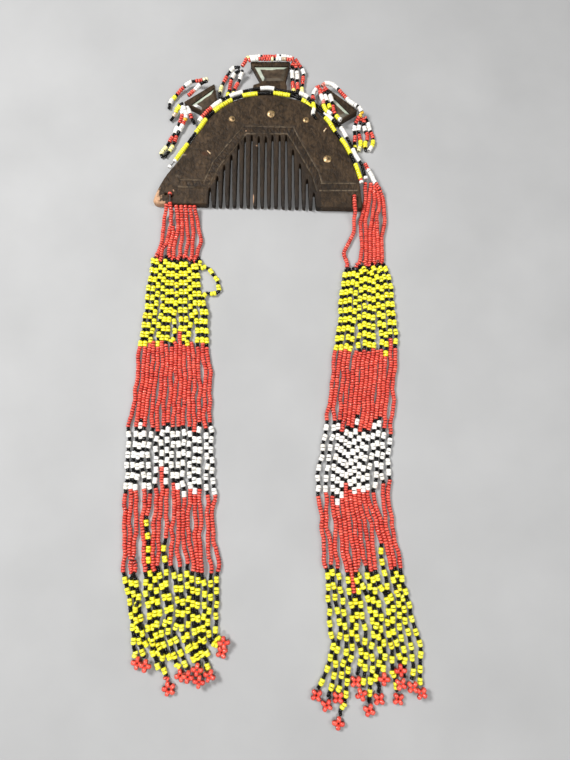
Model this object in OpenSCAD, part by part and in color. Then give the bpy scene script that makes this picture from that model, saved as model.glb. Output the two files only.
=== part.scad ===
// Carved wooden hair comb with three mirror finials and two long bands of beads.
// Lies face up on z = 0. The origin is the middle of the line of tooth tips, on the flat back.
// +Y runs from the tooth tips to the arch, and the bead bands run the other way.

/* [Comb plate] */
// Thickness of the plate at the tooth tips
foot_t = 4.3; // [3.5:0.1:6]
// Thickness of the plate at the top of the arch
arch_t = 7; // [6.8:0.1:9]
// Height of the plate from the tooth tips to the top of the arch
arch_h = 65; // [60:1:70]

/* [Teeth] */
// Number of gaps between the teeth
gap_count = 16; // [10:1:16]
// Distance from one tooth to the next
tooth_pitch = 3.64; // [3.4:0.02:3.7]
// Width of a gap at its closed end
gap_top_w = 1; // [0.8:0.1:1.4]
// Width of a gap at the tooth tips
gap_tip_w = 1.8; // [1.4:0.1:2.2]
// Highest point of the tooth gaps above the tips
field_h = 41.5; // [36:0.5:46]
// Thickness that is left at the bevelled tooth tips
tip_t = 2.2; // [1.5:0.1:3]
// Length of the bevel at the tooth tips
tip_bevel = 9; // [4:1:14]

/* [Finials] */
// Thickness of the finials
finial_t = 4.7; // [4:0.1:4.8]
// Depth of the recess for a mirror
recess_d = 1.4; // [1:0.1:2]
// Wood that shows outside a mirror along its outer edge
recess_rim = 3; // [2:0.5:4]
// Wood that shows beside a mirror
recess_side = 0.8; // [0.6:0.1:1.5]

/* [Mirrors] */
// Thickness of the mirror glass
mirror_t = 1.2; // [0.8:0.1:1.3]
// Width of the sloped strip round a mirror
mirror_bevel = 1.8; // [1:0.1:2.5]

/* [Tacks and nails] */
// Diameter of the wider tack heads
tack_wide = 4.4; // [3.5:0.1:5]
// Diameter of the narrower tack heads
tack_narrow = 3.6; // [3:0.1:4.4]
// Height of a tack head's dome
tack_dome = 0.9; // [0.5:0.1:1.2]
// Diameter of a tack's shank
shank_d = 1; // [0.6:0.1:1.2]
// Diameter of the two bent nails
nail_d = 0.7; // [0.5:0.1:0.9]

/* [Beads] */
// Diameter of the seed beads, and so of every string
bead_d = 2.1; // [1.8:0.1:2.3]
// Number of sides of a lone string
string_sides = 8; // [8:1:10]
// Number of sides of a strand in a bundle of loops
loop_sides = 6; // [6:1:8]
// Number of sides of a strand in a band
strand_sides = 5; // [5:1:8]
// Width of a floret at the end of a fringe strand
floret_d = 5.6; // [4.5:0.1:6.5]
// Number of strands across a band
strand_count = 13; // [10:1:14]
// How far a strand wanders from its straight line
wander = 0.5; // [0:0.1:0.8]

/* [Hidden] */

$fn = 48;
bead_r = bead_d / 2;
lap = 0.02;
fit = 0.1;

// Points of the plate's edge from the left foot over the arch to the right foot: x, y
edge_knots = [[-54, 1], [-53.5, 7], [-49, 18], [-41.5, 28.5], [-31.5, 44], [-24, 54], [-13, 61.5],
    [1, arch_h], [14, arch_h - 1.5], [26.5, 59], [37.8, 46.3], [47.3, 30], [52.4, 15.5], [54, 0]];
edge_steps = 4;

// The tooth field is a trapezoid: gaps start at gap_first and end on the lower of three lines
gap_first = -25.6;
field_left = [-32.6, 1.7];
field_right = [32.7, -2.3];

// Finials: x and y of the outer edge's middle, turn to the left, then distances from the middle line:
// outer edge left and right, neck left and right, base half width, then depths of neck, base and root,
// and last how much farther in the mirror's outer edge lies at its right end than at its left
finials = [
    [-33, 68, 35, 10, 10, 5, 5, 6.5, 10.5, 12, 17, -1.4],
    [5.5, 87.6, 0, 11, 11, 4.5, 8.2, 9.2, 13, 14.5, 25, 0],
    [44.5, 64.5, -41, 11, 11.2, 6, 8, 7.5, 11, 12.5, 19, 2.6]];

// Tacks: x, y, head diameter
tacks = [[-14.6, 50.5, tack_narrow], [6.2, 53.5, tack_wide], [24.9, 49.9, tack_narrow], [36, 27.4, tack_wide]];
shank_l = 2.5;
shank_hole_d = shank_d + 2 * fit;

// Nails: x, y, direction of the bent end
nails = [[-25.7, 30.4, 135], [34.4, 43.2, 55]];
nail_l = 2.2;

// Thread holes through the plate: x, y
thread_holes = [[-45.8, 6.6], [-48.5, 8], [49.5, 5.5]];
thread_hole_d = 1.5;

// The strings along the arch: first and last knot that they pass, and distance from the edge
inner_span = [2.4, 12.1];
inner_gap = 0.3;
outer_span = [4.3, 12];
outer_gap = 2.7;
string_rings = 28;
string_drop = 0.3;

// Strands round the finials, each a hand-laid route of x, y, z
left_strands = [
    [[-28, 75.3, 5.6], [-32, 74.8, 5.4], [-37, 75.5, 4], [-41.5, 73.5, 2.5], [-45.5, 69.5, 1.5], [-49, 65, 1.2],
        [-49.7, 60.5, 1.2]],
    [[-28, 75.3, 5.6], [-31, 72.6, 6.3], [-34, 69.6, 6.3], [-38.4, 65, 6]],
    [[-41.4, 60.6, 5.2], [-44, 60, 3.6], [-46.5, 56, 2], [-48.6, 53.6, 1.2]],
    [[-41.4, 60.6, 5.2], [-41.4, 57, 4], [-42.6, 53.5, 2.5], [-44.4, 48.5, 1.5], [-47.3, 43, 1.2], [-49.8, 38, 1.2],
        [-52.8, 33.5, 1.2], [-51.2, 31.6, 1.2]],
    [[-41.4, 60.6, 5.2], [-39.6, 56, 4], [-40.6, 52.5, 2.2], [-43, 48.5, 1.7], [-45.4, 41.5, 1.3], [-47.5, 36, 1.2],
        [-51.2, 31.6, 1.2]],
    [[-41.4, 60.6, 5.2], [-38, 56, 4.2], [-36.6, 53, 3.4], [-35.5, 50, 2.6]]];
top_strands = [
    [[-10, 83.8, 5.2], [-7, 88, 5.8], [-2.5, 89.4, 5.6], [2.5, 90, 5.4], [8, 90, 5.4], [13, 89.9, 5.6], [18.8, 88, 5.6]],
    [[-7, 88, 5.8], [-1, 87.8, 6.3], [4.5, 88, 6.1], [10, 87.8, 6.1], [15.5, 87.9, 6.1], [18.8, 88, 5.6]],
    [[-10, 83.8, 5.2], [-12, 84, 4.6], [-15, 84.5, 3.5], [-17.5, 82, 2], [-20, 78, 1.2], [-21.5, 74, 1.2], [-22, 69, 1.4],
        [-20.8, 64.5, 3]],
    [[-10, 83.8, 5.2], [-11.5, 82.5, 4], [-14, 82, 2.5], [-15.7, 80, 1.5], [-16.5, 75, 1.2], [-17.5, 69, 2],
        [-17.3, 66, 3.4]],
    [[-10, 83.8, 5.2], [-10, 81.5, 4], [-11, 79.5, 2.5], [-12, 77, 1.8], [-13.5, 74, 1.5], [-14.5, 70, 2.4],
        [-14.3, 67.5, 3.6]],
    [[18.8, 88, 5.6], [19.8, 87, 5], [22, 85.5, 3.5], [24, 83, 2], [23.5, 78.5, 1.5], [23, 73, 1.6], [23.5, 68, 2.6],
        [26, 63.5, 4.4]],
    [[18.8, 88, 5.6], [17.8, 83.5, 3.6], [17.6, 80.5, 2], [18, 76.5, 1.5], [18.4, 71, 2], [18.8, 67, 3.6]],
    [[18.8, 88, 5.6], [20.4, 83, 3.2], [20.4, 79.5, 1.8], [20.6, 75.5, 1.4], [21, 71, 2], [22, 66.5, 3.6]]];
right_strands = [
    [[33.4, 71, 5.6], [35, 72.8, 5.6], [38.5, 73, 5.4], [42.5, 69.2, 5.9], [45.5, 65.4, 6], [49, 61, 6], [53.6, 57.6, 6],
        [55, 54.5, 4.8]],
    [[33.4, 71, 5.6], [31, 71.5, 3.4], [29.2, 69, 1.8], [28.5, 65.5, 1.8], [29, 61.5, 3.2]],
    [[33.4, 71, 5.6], [33, 66.5, 6], [33.6, 63.4, 6], [34.5, 60.6, 6.4]],
    [[33.4, 71, 5.6], [35.5, 64, 6], [36.4, 60.5, 6], [37.7, 57.6, 6.4]],
    [[33.4, 71, 5.6], [37.5, 66, 6.2], [39, 61, 6.2], [39.5, 56, 6.2], [41, 53, 5.9], [43.4, 50, 5.9]],
    [[55, 54.5, 4.8], [52, 50.5, 3.4], [51, 48, 2], [51.5, 43.5, 1.2], [51, 38.5, 1.2], [52, 34.5, 1.2]],
    [[55, 54.5, 4.8], [54.5, 51, 3.4], [53.4, 48, 2], [54, 43.5, 1.3], [54.5, 39, 1.3], [52.5, 35, 1.2]],
    [[55, 54.5, 4.8], [56, 51, 3.4], [56.5, 48, 2], [58.3, 44, 1.2], [57, 39, 1.3], [57, 35, 1.2]],
    [[55, 54.5, 4.8], [58, 52, 3], [59.3, 48, 1.5], [61, 44, 1.2], [61, 39, 1.2], [58.5, 35, 1.2]]];

// Edges of the bead bands: y, left x, right x
left_edges = [[3, -50, -32], [-18, -51.5, -29.5], [-28, -54.5, -30], [-50, -57, -25.5], [-64, -59, -24],
    [-71, -60, -24.5], [-100, -61.5, -22], [-113, -62.5, -21.5], [-128, -63, -20], [-143, -62.5, -18.5],
    [-161, -62.5, -19], [-179, -61.5, -16], [-193, -58, -16], [-206, -56.5, -18.5], [-212, -55, -19]];
right_edges = [[-20, 45, 66], [-29, 45, 63], [-36, 43, 67.5], [-50, 40.5, 69], [-73, 38, 69.5], [-100, 35.5, 67],
    [-113, 33, 65.5], [-128, 29.5, 64.5], [-143, 28, 61.5], [-161, 30, 65], [-180, 31.5, 68], [-194, 33, 71],
    [-206, 34, 73], [-214, 34, 75]];

// Stretches of a band where strands lie tight side by side: y from, y to
held = [[-28, -71], [-113, -144], [-179, -197]];
held_rows = 3;
crest_z = 2.5;
valley_z = 1.3;
strand_z = 1.15;
strand_lap = 2;
open_rings = 3;
top_count = 8;

// Upper strands of the right band, each a hand-laid route of x, y, z
right_tops = [
    [[49.5, 5.5, 5.8], [49.4, -0.5, 5.6], [49.4, -6, 2], [48.5, -12, 1.2], [45, -22, 1.2], [47.5, -33, 1.2]],
    [[55.4, 13, 2.6], [56, 6, 1.2], [55.6, -1, 1.2], [54, -9, 1.2], [54.5, -20, 1.2], [51, -33, 1.2]],
    [[57.2, 12.5, 2.4], [58, 6, 1.2], [56, -11, 1.2], [56, -33, 1.2]],
    [[59, 13, 2.6], [60.5, 6, 1.2], [58.5, -10, 1.2], [58.5, -33, 1.2]],
    [[60.8, 12.5, 2.4], [63, 6, 1.2], [61.5, -2, 1.2], [60.5, -15, 1.2], [61, -33, 1.2]],
    [[55.9, 25.6, 4.4], [57.6, 21.6, 4.4], [61, 14.8, 3.4], [65, 6, 1.2], [66.5, -3, 1.2], [65.5, -12, 1.2],
        [63.5, -33, 1.2]]];

// Fringe ends: x and y of the floret on each strand, from left to right
left_florets = [[-52, -219], [-48, -219.5], [-41.5, -225], [-37.5, -229.5], [-32.5, -224], [-29, -224],
    [-25, -221], [-24, -226], [-19.5, -223.5], [-14.5, -214.5], [-13.5, -210]];
right_florets = [[27.5, -232], [32, -236], [37, -233], [37, -243.5], [45, -226.5], [47, -231], [50.5, -238],
    [55, -233.5], [57.5, -225.5], [63.5, -233.5], [65, -222], [64.5, -226.5], [69.5, -228], [73.5, -230.5]];
floret_h = 2.2;
knot_w = 3;

// Height of the face above the back, at the distance y from the tooth tips
function face_z(y) = foot_t + (arch_t - foot_t) * y / arch_h;
face_tilt = atan((arch_t - foot_t) / arch_h);

// A smooth curve through the points p, at the place t between point i and the next
function spline(p, i, t) =
    let (a = p[max(i - 1, 0)], b = p[i], c = p[i + 1], d = p[min(i + 2, len(p) - 1)])
    0.5 * (2 * b + (c - a) * t + (2 * a - 5 * b + 4 * c - d) * t * t + (3 * b - a - 3 * c + d) * t * t * t);
function smooth(p, steps) =
    [for (i = [0:len(p) - 2]) for (k = [0:steps - 1]) spline(p, i, k / steps), p[len(p) - 1]];

// A point of the plate's edge at the knot number u, and one that lies off to its outside
function edge_at(u) = spline(edge_knots, min(floor(u), len(edge_knots) - 2), u - min(floor(u), len(edge_knots) - 2));
function unit(v) = v / norm(v);
function edge_out(u, off) =
    let (p = edge_at(u), d = unit(edge_at(u + 0.05) - edge_at(u - 0.05)))
    [p[0] - d[1] * off, p[1] + d[0] * off];

// One ring of points round the route, square to it
function heading(route, i) = unit(route[min(i + 1, len(route) - 1)] - route[max(i - 1, 0)]);
function ring(route, i, r, sides) =
    let (d = heading(route, i), s = unit(cross(d, [0, 0, 1])), w = cross(s, d))
    [for (k = [0:sides - 1]) route[i] + r * (cos(360 * k / sides) * s + sin(360 * k / sides) * w)];

// A round string along a route, as one closed skin
module tube(route, r, sides) {
    last = len(route) - 1;
    skin = [for (i = [0:last]) each ring(route, i, r, sides)];
    walls = [for (i = [0:last - 1]) for (k = [0:sides - 1])
        let (a = i * sides + k, b = i * sides + (k + 1) % sides)
        each [[a, b, b + sides], [a, b + sides, a + sides]]];
    start = [for (k = [0:sides - 1]) sides - 1 - k];
    end = [for (k = [0:sides - 1]) last * sides + k];
    polyhedron(skin, concat([start], walls, [end]));
}

// A rounded knot where a strand starts or ends
module knot(p, w) {
    translate(p) hull() cylinder(h = w * 0.6, d = w * 0.9, center = true, $fn = 6);
}

// A bundle of strands, fused where they touch, with a knot at both ends of each
module bundle(strands) {
    for (route = strands) {
        tube(route, bead_r, loop_sides);
        knot(route[0], knot_w);
        knot(route[len(route) - 1], knot_w);
    }
}

// The flat shape of the plate, seen from its face
module plate_outline() {
    polygon(smooth(edge_knots, edge_steps));
}

// The plate gets thicker from the teeth to the arch
module plate() {
    intersection() {
        linear_extrude(arch_t + 1) plate_outline();
        rotate([90, 0, 90]) translate([0, 0, -70]) linear_extrude(140)
            polygon([[-1, 0], [arch_h + 1, 0], [arch_h + 1, face_z(arch_h + 1)], [-1, face_z(-1)]]);
    }
}

// The closed end of the gap at x, which lies on the lowest of the field's three lines
function gap_end(x) =
    min(field_h, (x - field_left[0]) * field_left[1], (x - field_right[0]) * field_right[1]);

module gaps() {
    for (i = [0:gap_count - 1]) {
        x = gap_first + i * tooth_pitch;
        top = gap_end(x);
        translate([0, 0, -1]) linear_extrude(arch_t + 2)
            polygon([[x - gap_tip_w / 2, -1], [x + gap_tip_w / 2, -1], [x + gap_top_w / 2, top - gap_top_w],
                [x, top], [x - gap_top_w / 2, top - gap_top_w]]);
    }
}

// Cuts the face of the teeth down to tip_t at their tips
module tooth_bevel() {
    x_from = gap_first;
    x_to = gap_first + (gap_count - 1) * tooth_pitch;
    translate([x_from, 0, 0]) rotate([90, 0, 90]) linear_extrude(x_to - x_from)
        polygon([[-1, tip_t], [0, tip_t], [tip_bevel, face_z(tip_bevel) + lap], [tip_bevel, arch_t + 1], [-1, arch_t + 1]]);
}

// Places a child at a finial's outer edge, with -Y towards the arch
module at_finial(f) {
    translate([f[0], f[1], 0]) rotate([0, 0, f[2]]) children();
}

module finial(f) {
    at_finial(f) linear_extrude(finial_t)
        polygon([[-f[3], 0], [f[4], 0], [f[6], -f[8]], [f[7], -f[9]], [f[7], -f[10]],
            [-f[7], -f[10]], [-f[7], -f[9]], [-f[5], -f[8]]]);
}

// The mirror's flat shape, smaller than its recess by the gap g, and by the bevel b on top
module mirror_outline(f, g) {
    left_y = -recess_rim - g + f[11] / 2;
    right_y = -recess_rim - g - f[11] / 2;
    low_y = -f[8] + recess_side + g;
    in_left = recess_side + g;
    slope_left = (f[3] - f[5]) / f[8];
    slope_right = (f[4] - f[6]) / f[8];
    polygon([[-f[3] - slope_left * left_y + in_left, left_y], [f[4] + slope_right * right_y - in_left, right_y],
        [f[4] + slope_right * low_y - in_left, low_y], [-f[3] - slope_left * low_y + in_left, low_y]]);
}

module mirror_pane(f) {
    floor_z = finial_t - recess_d + fit;
    low_t = mirror_t * 0.4;
    color("darkslategray") at_finial(f) hull() {
        translate([0, 0, floor_z]) linear_extrude(low_t) mirror_outline(f, fit);
        translate([0, 0, floor_z]) linear_extrude(mirror_t) mirror_outline(f, fit + mirror_bevel);
    }
}

// Stands a child on the sloping face of the plate
module on_face(x, y) {
    translate([x, y, face_z(y)]) rotate([face_tilt, 0, 0]) children();
}

module comb_body() {
    color("#3b2a20") difference() {
        union() {
            plate();
            for (f = finials) finial(f);
        }
        gaps();
        tooth_bevel();
        for (f = finials)
            at_finial(f) translate([0, 0, finial_t - recess_d]) linear_extrude(recess_d + 1) mirror_outline(f, 0);
        for (h = thread_holes)
            translate([h[0], h[1], -1]) cylinder(h = arch_t + 2, d = thread_hole_d);
        for (t = tacks)
            on_face(t[0], t[1]) translate([0, 0, -shank_l - fit]) cylinder(h = shank_l + 1, d = shank_hole_d);
        for (n = nails)
            on_face(n[0], n[1]) translate([0, 0, -shank_l - fit]) cylinder(h = shank_l + 1, d = nail_d + 2 * fit);
    }
}

module mirror_left() mirror_pane(finials[0]);
module mirror_top() mirror_pane(finials[1]);
module mirror_right() mirror_pane(finials[2]);

// A domed brass tack, with its shank in the wood
module tack(t) {
    dome_r = (t[2] * t[2] / 4 + tack_dome * tack_dome) / (2 * tack_dome);
    color("goldenrod") on_face(t[0], t[1]) {
        translate([0, 0, fit]) intersection() {
            translate([0, 0, tack_dome - dome_r]) sphere(dome_r);
            cylinder(h = tack_dome + 1, d = t[2] + 1);
        }
        translate([0, 0, -shank_l]) cylinder(h = shank_l + fit + lap, d = shank_d);
    }
}

module tack_left() tack(tacks[0]);
module tack_top() tack(tacks[1]);
module tack_right() tack(tacks[2]);
module tack_low() tack(tacks[3]);

// A thin nail that is bent over on to the face
module nail(n) {
    rise = nail_d / 2 + fit;
    color("silver") on_face(n[0], n[1]) {
        translate([0, 0, -shank_l]) cylinder(h = shank_l + rise, d = nail_d);
        translate([0, 0, rise]) sphere(d = nail_d);
        translate([0, 0, rise]) rotate([0, 90, n[2]]) cylinder(h = nail_l, d = nail_d);
    }
}

module nail_left() nail(nails[0]);
module nail_right() nail(nails[1]);

// A string of beads that follows the arch, just outside its edge
module arch_string(span, gap) {
    route = [for (k = [0:string_rings - 1])
        let (p = edge_out(span[0] + (span[1] - span[0]) * k / (string_rings - 1), gap + bead_r))
        [p[0], p[1], face_z(p[1]) - string_drop]];
    tube(route, bead_r, string_sides);
}

module arch_string_inner() {
    color("yellow") arch_string(inner_span, inner_gap);
}
module arch_string_outer() {
    color("white") arch_string(outer_span, outer_gap);
}

module loops_left() color("tomato") bundle(left_strands);
module loops_top() color("tomato") bundle(top_strands);
module loops_right() color("tomato") bundle(right_strands);

// The x of a band's left or right edge, in column 1 or 2 of its table, at the distance y
function edge_x(edges, column, y) = lookup(y, [for (e = edges) [e[0], e[column]]]);
function strand_x(edges, i, count, y) =
    let (a = edge_x(edges, 1, y) + bead_r, b = edge_x(edges, 2, y) - bead_r)
    a + (b - a) * i / (count - 1);

// Where strands lie tight they are one strip with a crest over each strand and valleys between
module held_strip(edges, from, to) {
    across = 2 * strand_count + 1;
    rows = [for (k = [0:held_rows - 1]) from + (to - from) * k / (held_rows - 1)];
    skin = [for (y = rows)
        let (a = edge_x(edges, 1, y), b = edge_x(edges, 2, y))
        each concat([[a + bead_r / 2, y, 0]],
            [for (j = [0:across - 1])
                [a + (b - a) * j / (across - 1), y, j % 2 == 1 ? crest_z : valley_z]],
            [[b - bead_r / 2, y, 0]])];
    per_row = across + 2;
    walls = [for (i = [0:held_rows - 2]) for (k = [0:per_row - 1])
        let (a = i * per_row + k, b = i * per_row + (k + 1) % per_row)
        each [[a, b, b + per_row], [a, b + per_row, a + per_row]]];
    start = [for (k = [per_row - 1:-1:0]) k];
    end = [for (k = [0:per_row - 1]) (held_rows - 1) * per_row + k];
    polyhedron(skin, concat([start], walls, [end]));
}

// Where strands lie loose, each is a string of its own from one strip to the next
module open_strands(edges, from, to) {
    for (i = [0:strand_count - 1])
        tube([for (k = [0:open_rings - 1])
            let (t = k / (open_rings - 1), y = from + strand_lap + (to - from - 2 * strand_lap) * t)
            [strand_x(edges, i, strand_count, y) + wander * sin(180 * t) * sin(130 * i), y, strand_z]],
            bead_r, strand_sides);
}

// A ring of small beads, laid flat, as one round pad
module floret(x, y) {
    translate([x, y, 0]) hull() cylinder(h = floret_h, d = floret_d, $fn = 8);
}

// The tight and loose stretches down to the fringe, and the fringe's ends
module band(edges, florets) {
    for (h = held) held_strip(edges, h[0], h[1]);
    for (k = [0:len(held) - 2]) open_strands(edges, held[k][1], held[k + 1][0]);
    y_from = held[len(held) - 1][1] + strand_lap;
    for (i = [0:len(florets) - 1]) {
        f = florets[i];
        x_from = strand_x(edges, i, len(florets), y_from);
        tube([[x_from, y_from, strand_z], [(x_from + f[0]) / 2 + wander, (y_from + f[1]) / 2, strand_z],
            [f[0], f[1], strand_z]], bead_r, strand_sides);
        floret(f[0], f[1]);
    }
}

module bead_band_left() {
    y_in = held[0][0] - strand_lap;
    color("red") {
        band(left_edges, left_florets);
        for (i = [0:top_count - 1])
            tube([[strand_x(left_edges, i, top_count, 0), -bead_r, 3],
                [strand_x(left_edges, i, top_count, -6), -6, 1.5],
                [strand_x(left_edges, i, top_count, -17), -17, strand_z],
                [strand_x(left_edges, i, top_count, y_in), y_in, strand_z]], bead_r, strand_sides);
    }
}

module bead_band_right() {
    color("red") {
        band(right_edges, right_florets);
        for (route = right_tops) tube(route, bead_r, strand_sides);
    }
}

comb_body();
mirror_left();
mirror_top();
mirror_right();
tack_left();
tack_top();
tack_right();
tack_low();
nail_left();
nail_right();
arch_string_inner();
arch_string_outer();
loops_left();
loops_top();
loops_right();
bead_band_left();
bead_band_right();
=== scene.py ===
import math
from collections import namedtuple

import bpy
import numpy as np
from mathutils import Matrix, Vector
from mathutils.geometry import delaunay_2d_cdt
from mathutils.kdtree import KDTree


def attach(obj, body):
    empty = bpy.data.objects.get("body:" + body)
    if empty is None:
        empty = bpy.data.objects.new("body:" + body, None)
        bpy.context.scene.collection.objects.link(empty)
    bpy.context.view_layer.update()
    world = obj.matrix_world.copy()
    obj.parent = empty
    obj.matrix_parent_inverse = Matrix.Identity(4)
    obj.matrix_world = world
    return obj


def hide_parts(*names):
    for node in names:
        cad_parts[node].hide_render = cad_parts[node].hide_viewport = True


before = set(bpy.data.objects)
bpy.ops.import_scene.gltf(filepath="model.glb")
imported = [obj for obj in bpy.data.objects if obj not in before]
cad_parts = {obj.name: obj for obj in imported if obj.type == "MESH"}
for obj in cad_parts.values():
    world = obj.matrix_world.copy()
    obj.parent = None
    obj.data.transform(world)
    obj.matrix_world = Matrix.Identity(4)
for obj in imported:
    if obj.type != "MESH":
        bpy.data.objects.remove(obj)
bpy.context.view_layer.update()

# All sizes but the stage's are in millimetres, and are turned into metres where a mesh is made
MM = 0.001
FULL_TURN = 2 * math.pi
draw = np.random.default_rng(12)
columns = np.column_stack


def put(name, data):
    """A new object in the scene."""
    thing = bpy.data.objects.new(name, data)
    bpy.context.scene.collection.objects.link(thing)
    return thing


# Camera, at the height and tilt of the photograph's own
CAMERA_AT = (13.7, -144.25, 265.6)
CAMERA_TILT = 11.5
camera = put("camera", bpy.data.cameras.new("camera"))
camera.data.lens = 26
camera.data.sensor_width = 36
camera.location = [c * MM for c in CAMERA_AT]
camera.rotation_euler = (math.radians(CAMERA_TILT), 0, 0)
bpy.context.scene.camera = camera
bpy.context.scene.view_settings.view_transform = "Standard"

# Sizes that the source of the solids names as well
FOOT_T = 4.3
ARCH_T = 7.0
ARCH_H = 65.0
GAP_COUNT = 16
TOOTH_PITCH = 3.64
GAP_FIRST = -25.6
GAP_TOP_W = 1.0
GAP_TIP_W = 1.8
FIELD_H = 41.5
FIELD_LEFT = (-32.6, 1.7)
FIELD_RIGHT = (32.7, -2.3)
TIP_T = 2.2
TIP_BEVEL = 9.0
FINIAL_T = 4.7
RECESS_D = 1.4
RECESS_RIM = 3.0
RECESS_SIDE = 0.8
MIRROR_T = 1.2
MIRROR_BEVEL = 1.8
TACK_DOME = 0.9
SHANK_D = 1.0
SHANK_L = 2.5
FIT = 0.1
NAIL_D = 0.7
NAIL_L = 2.2
BEAD_R = 1.05
THREAD_HOLE_D = 1.5
FACE_TILT = math.atan((ARCH_T - FOOT_T) / ARCH_H)

# The plate's edge from the left foot over the arch to the right foot: x, y. The left foot is worn here,
# and differs from the solid's
EDGE_KNOTS = [
    (-55.4, 2.6), (-54.3, 7.4), (-49, 18), (-41.5, 28.5), (-31.5, 44), (-24, 54), (-13, 61.5), (1, 65),
    (14, 63.5), (26.5, 59), (37.8, 46.3), (47.3, 30), (52.4, 15.5), (54, 0)]

# Finials: x and y of the outer edge's middle, and its turn in degrees; distances from the middle line of
# the outer edge, neck and base; depths of neck, base and root; and how much farther in the mirror's
# outer edge lies at its right end than at its left
Finial = namedtuple("Finial", "x y turn left right neck_left neck_right base neck_d base_d root_d skew")
FINIALS = {
    "left": Finial(-33, 68, 35, 10, 10, 5, 5, 6.5, 10.5, 12, 17, -1.4),
    "top": Finial(5.5, 87.6, 0, 11, 11, 4.5, 8.2, 9.2, 13, 14.5, 25, 0),
    "right": Finial(44.5, 64.5, -41, 11, 11.2, 6, 8, 7.5, 11, 12.5, 19, 2.6)}

# Tacks: x, y, head diameter, and where the head is dented, in shares of its radius
TACKS = {"left": (-14.6, 50.5, 3.6, 0.45, -0.1), "top": (6.2, 53.5, 4.4, -0.1, -0.3),
         "right": (24.9, 49.9, 3.6, 0, 0), "low": (36, 27.4, 4.4, 0.3, 0)}

# Nails: x, y, direction of the bent end
NAILS = {"left": (-25.7, 30.4, 135), "right": (34.4, 43.2, 55)}

# Holes for threads, right through the plate: x, y
THREAD_HOLES = [(-45.8, 6.6), (-48.5, 8), (49.5, 5.5)]


def face_z(y):
    """The height of the plate's face at the distance y from the tooth tips."""
    return FOOT_T + (ARCH_T - FOOT_T) * y / ARCH_H


def norms(vectors):
    """The length of each vector."""
    return np.linalg.norm(vectors, axis=1)


def units(vectors):
    """Each vector at length 1."""
    return vectors / np.maximum(norms(vectors), 1e-6)[:, None]


def turned_left(vectors):
    return columns([-vectors[:, 1], vectors[:, 0]])


def aside(line):
    """The unit vectors that point to the left of a line at each of its points."""
    return turned_left(units(np.gradient(line, axis=0)))


def outward(ring):
    """The unit normals of a clockwise ring, pointing out of it."""
    return turned_left(units(np.roll(ring, -1, axis=0) - np.roll(ring, 1, axis=0)))


def level(flat, z):
    """Points of the plane raised to the height z, or each to its own."""
    return columns([flat, np.broadcast_to(z, len(flat))])


def closed(ring):
    return np.vstack([ring, ring[:1]])


def smooth(points, steps=8):
    """A curve through the points, with so many steps from one to the next."""
    p = np.asarray(points, float)
    p = np.vstack([p[:1], p, p[-1:]])
    t = np.arange(steps)[:, None] / steps
    parts = []
    for a, b, c, d in zip(p, p[1:], p[2:], p[3:]):
        parts.append(0.5 * (2 * b + (c - a) * t + (2 * a - 5 * b + 4 * c - d) * t**2
                            + (3 * b - a - 3 * c + d) * t**3))
    return np.vstack(parts + [p[-1:]])


def run_lengths(points):
    """How far along the line each point lies."""
    return np.concatenate([[0], np.cumsum(norms(np.diff(points, axis=0)))])


def along(points, where):
    """The places at the given distances along the line."""
    s = run_lengths(points)
    return columns([np.interp(where, s, part) for part in points.T])


def refine(points, step):
    """The same line with no segment longer than step, and with its corners kept."""
    points = np.asarray(points, float)
    parts = []
    for a, b in zip(points, points[1:]):
        n = max(1, math.ceil(np.linalg.norm(b - a) / step))
        parts.append(a + (b - a) * np.arange(n)[:, None] / n)
    return np.vstack(parts + [points[-1:]])


def inside(points, ring):
    """Whether each point lies in the closed ring."""
    x, y = points.T
    result = np.zeros(len(points), bool)
    for (ax, ay), (bx, by) in zip(ring, np.roll(ring, -1, axis=0)):
        if ay != by:
            result ^= ((ay > y) != (by > y)) & (x < (bx - ax) * (y - ay) / (by - ay) + ax)
    return result


def inside_any(points, rings):
    return np.any([inside(points, ring) for ring in rings], axis=0)


def line_distance(points, *lines):
    """The distance from each point to the nearest of a few lines."""
    best = np.full(len(points), 1e9)
    for line in lines:
        for a, b in zip(line, line[1:]):
            d = b - a
            t = np.clip((points - a) @ d / max(d @ d, 1e-9), 0, 1)
            best = np.minimum(best, norms(points - a - t[:, None] * d))
    return best


def distance_to(lines, step=0.06):
    """A function that gives each place's distance to the nearest of the lines' closely spaced points."""
    points = np.vstack([refine(line, step) for line in lines])
    tree = KDTree(len(points))
    for i, (x, y) in enumerate(points):
        tree.insert((x, y, 0), i)
    tree.balance()
    return lambda places: np.array([tree.find((x, y, 0))[2] for x, y in places])


def nearness(distance, reach):
    """1 at no distance, which falls to 0 at the reach."""
    return np.clip(1 - distance / reach, 0, 1)


def rounded(distance, radius):
    """How far a rounded edge lies below the face at a distance from it."""
    return radius * (1 - np.sqrt(1 - nearness(distance, radius) ** 2))


def waves(points, sizes, rng):
    """Slow seeded ups and downs over the plane: pairs of wave length and height."""
    total = np.zeros(len(points))
    for wave, height in sizes:
        for _ in range(3):
            turn = rng.uniform(0, math.pi)
            phase = rng.uniform(0, FULL_TURN)
            reach = points[:, 0] * math.cos(turn) + points[:, 1] * math.sin(turn)
            total += height * np.sin(FULL_TURN * reach / wave + phase) / 3
    return total


def angles(count):
    """Angles spread evenly over a full turn."""
    return np.arange(count) * 2 * math.pi / count


def circle(x, y, radius, sides):
    t = angles(sides)
    return columns([x + radius * np.cos(t), y + radius * np.sin(t)])


def spokes(d, turns):
    """Unit vectors square to each direction, at the given turns round it."""
    upright = np.abs(d[:, 2]) >= 0.92
    u = units(np.cross(d, np.where(upright[:, None], (1.0, 0.0, 0.0), (0.0, 0.0, 1.0))))
    return np.cos(turns)[..., None] * u[:, None] + np.sin(turns)[..., None] * np.cross(d, u)[:, None]


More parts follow.
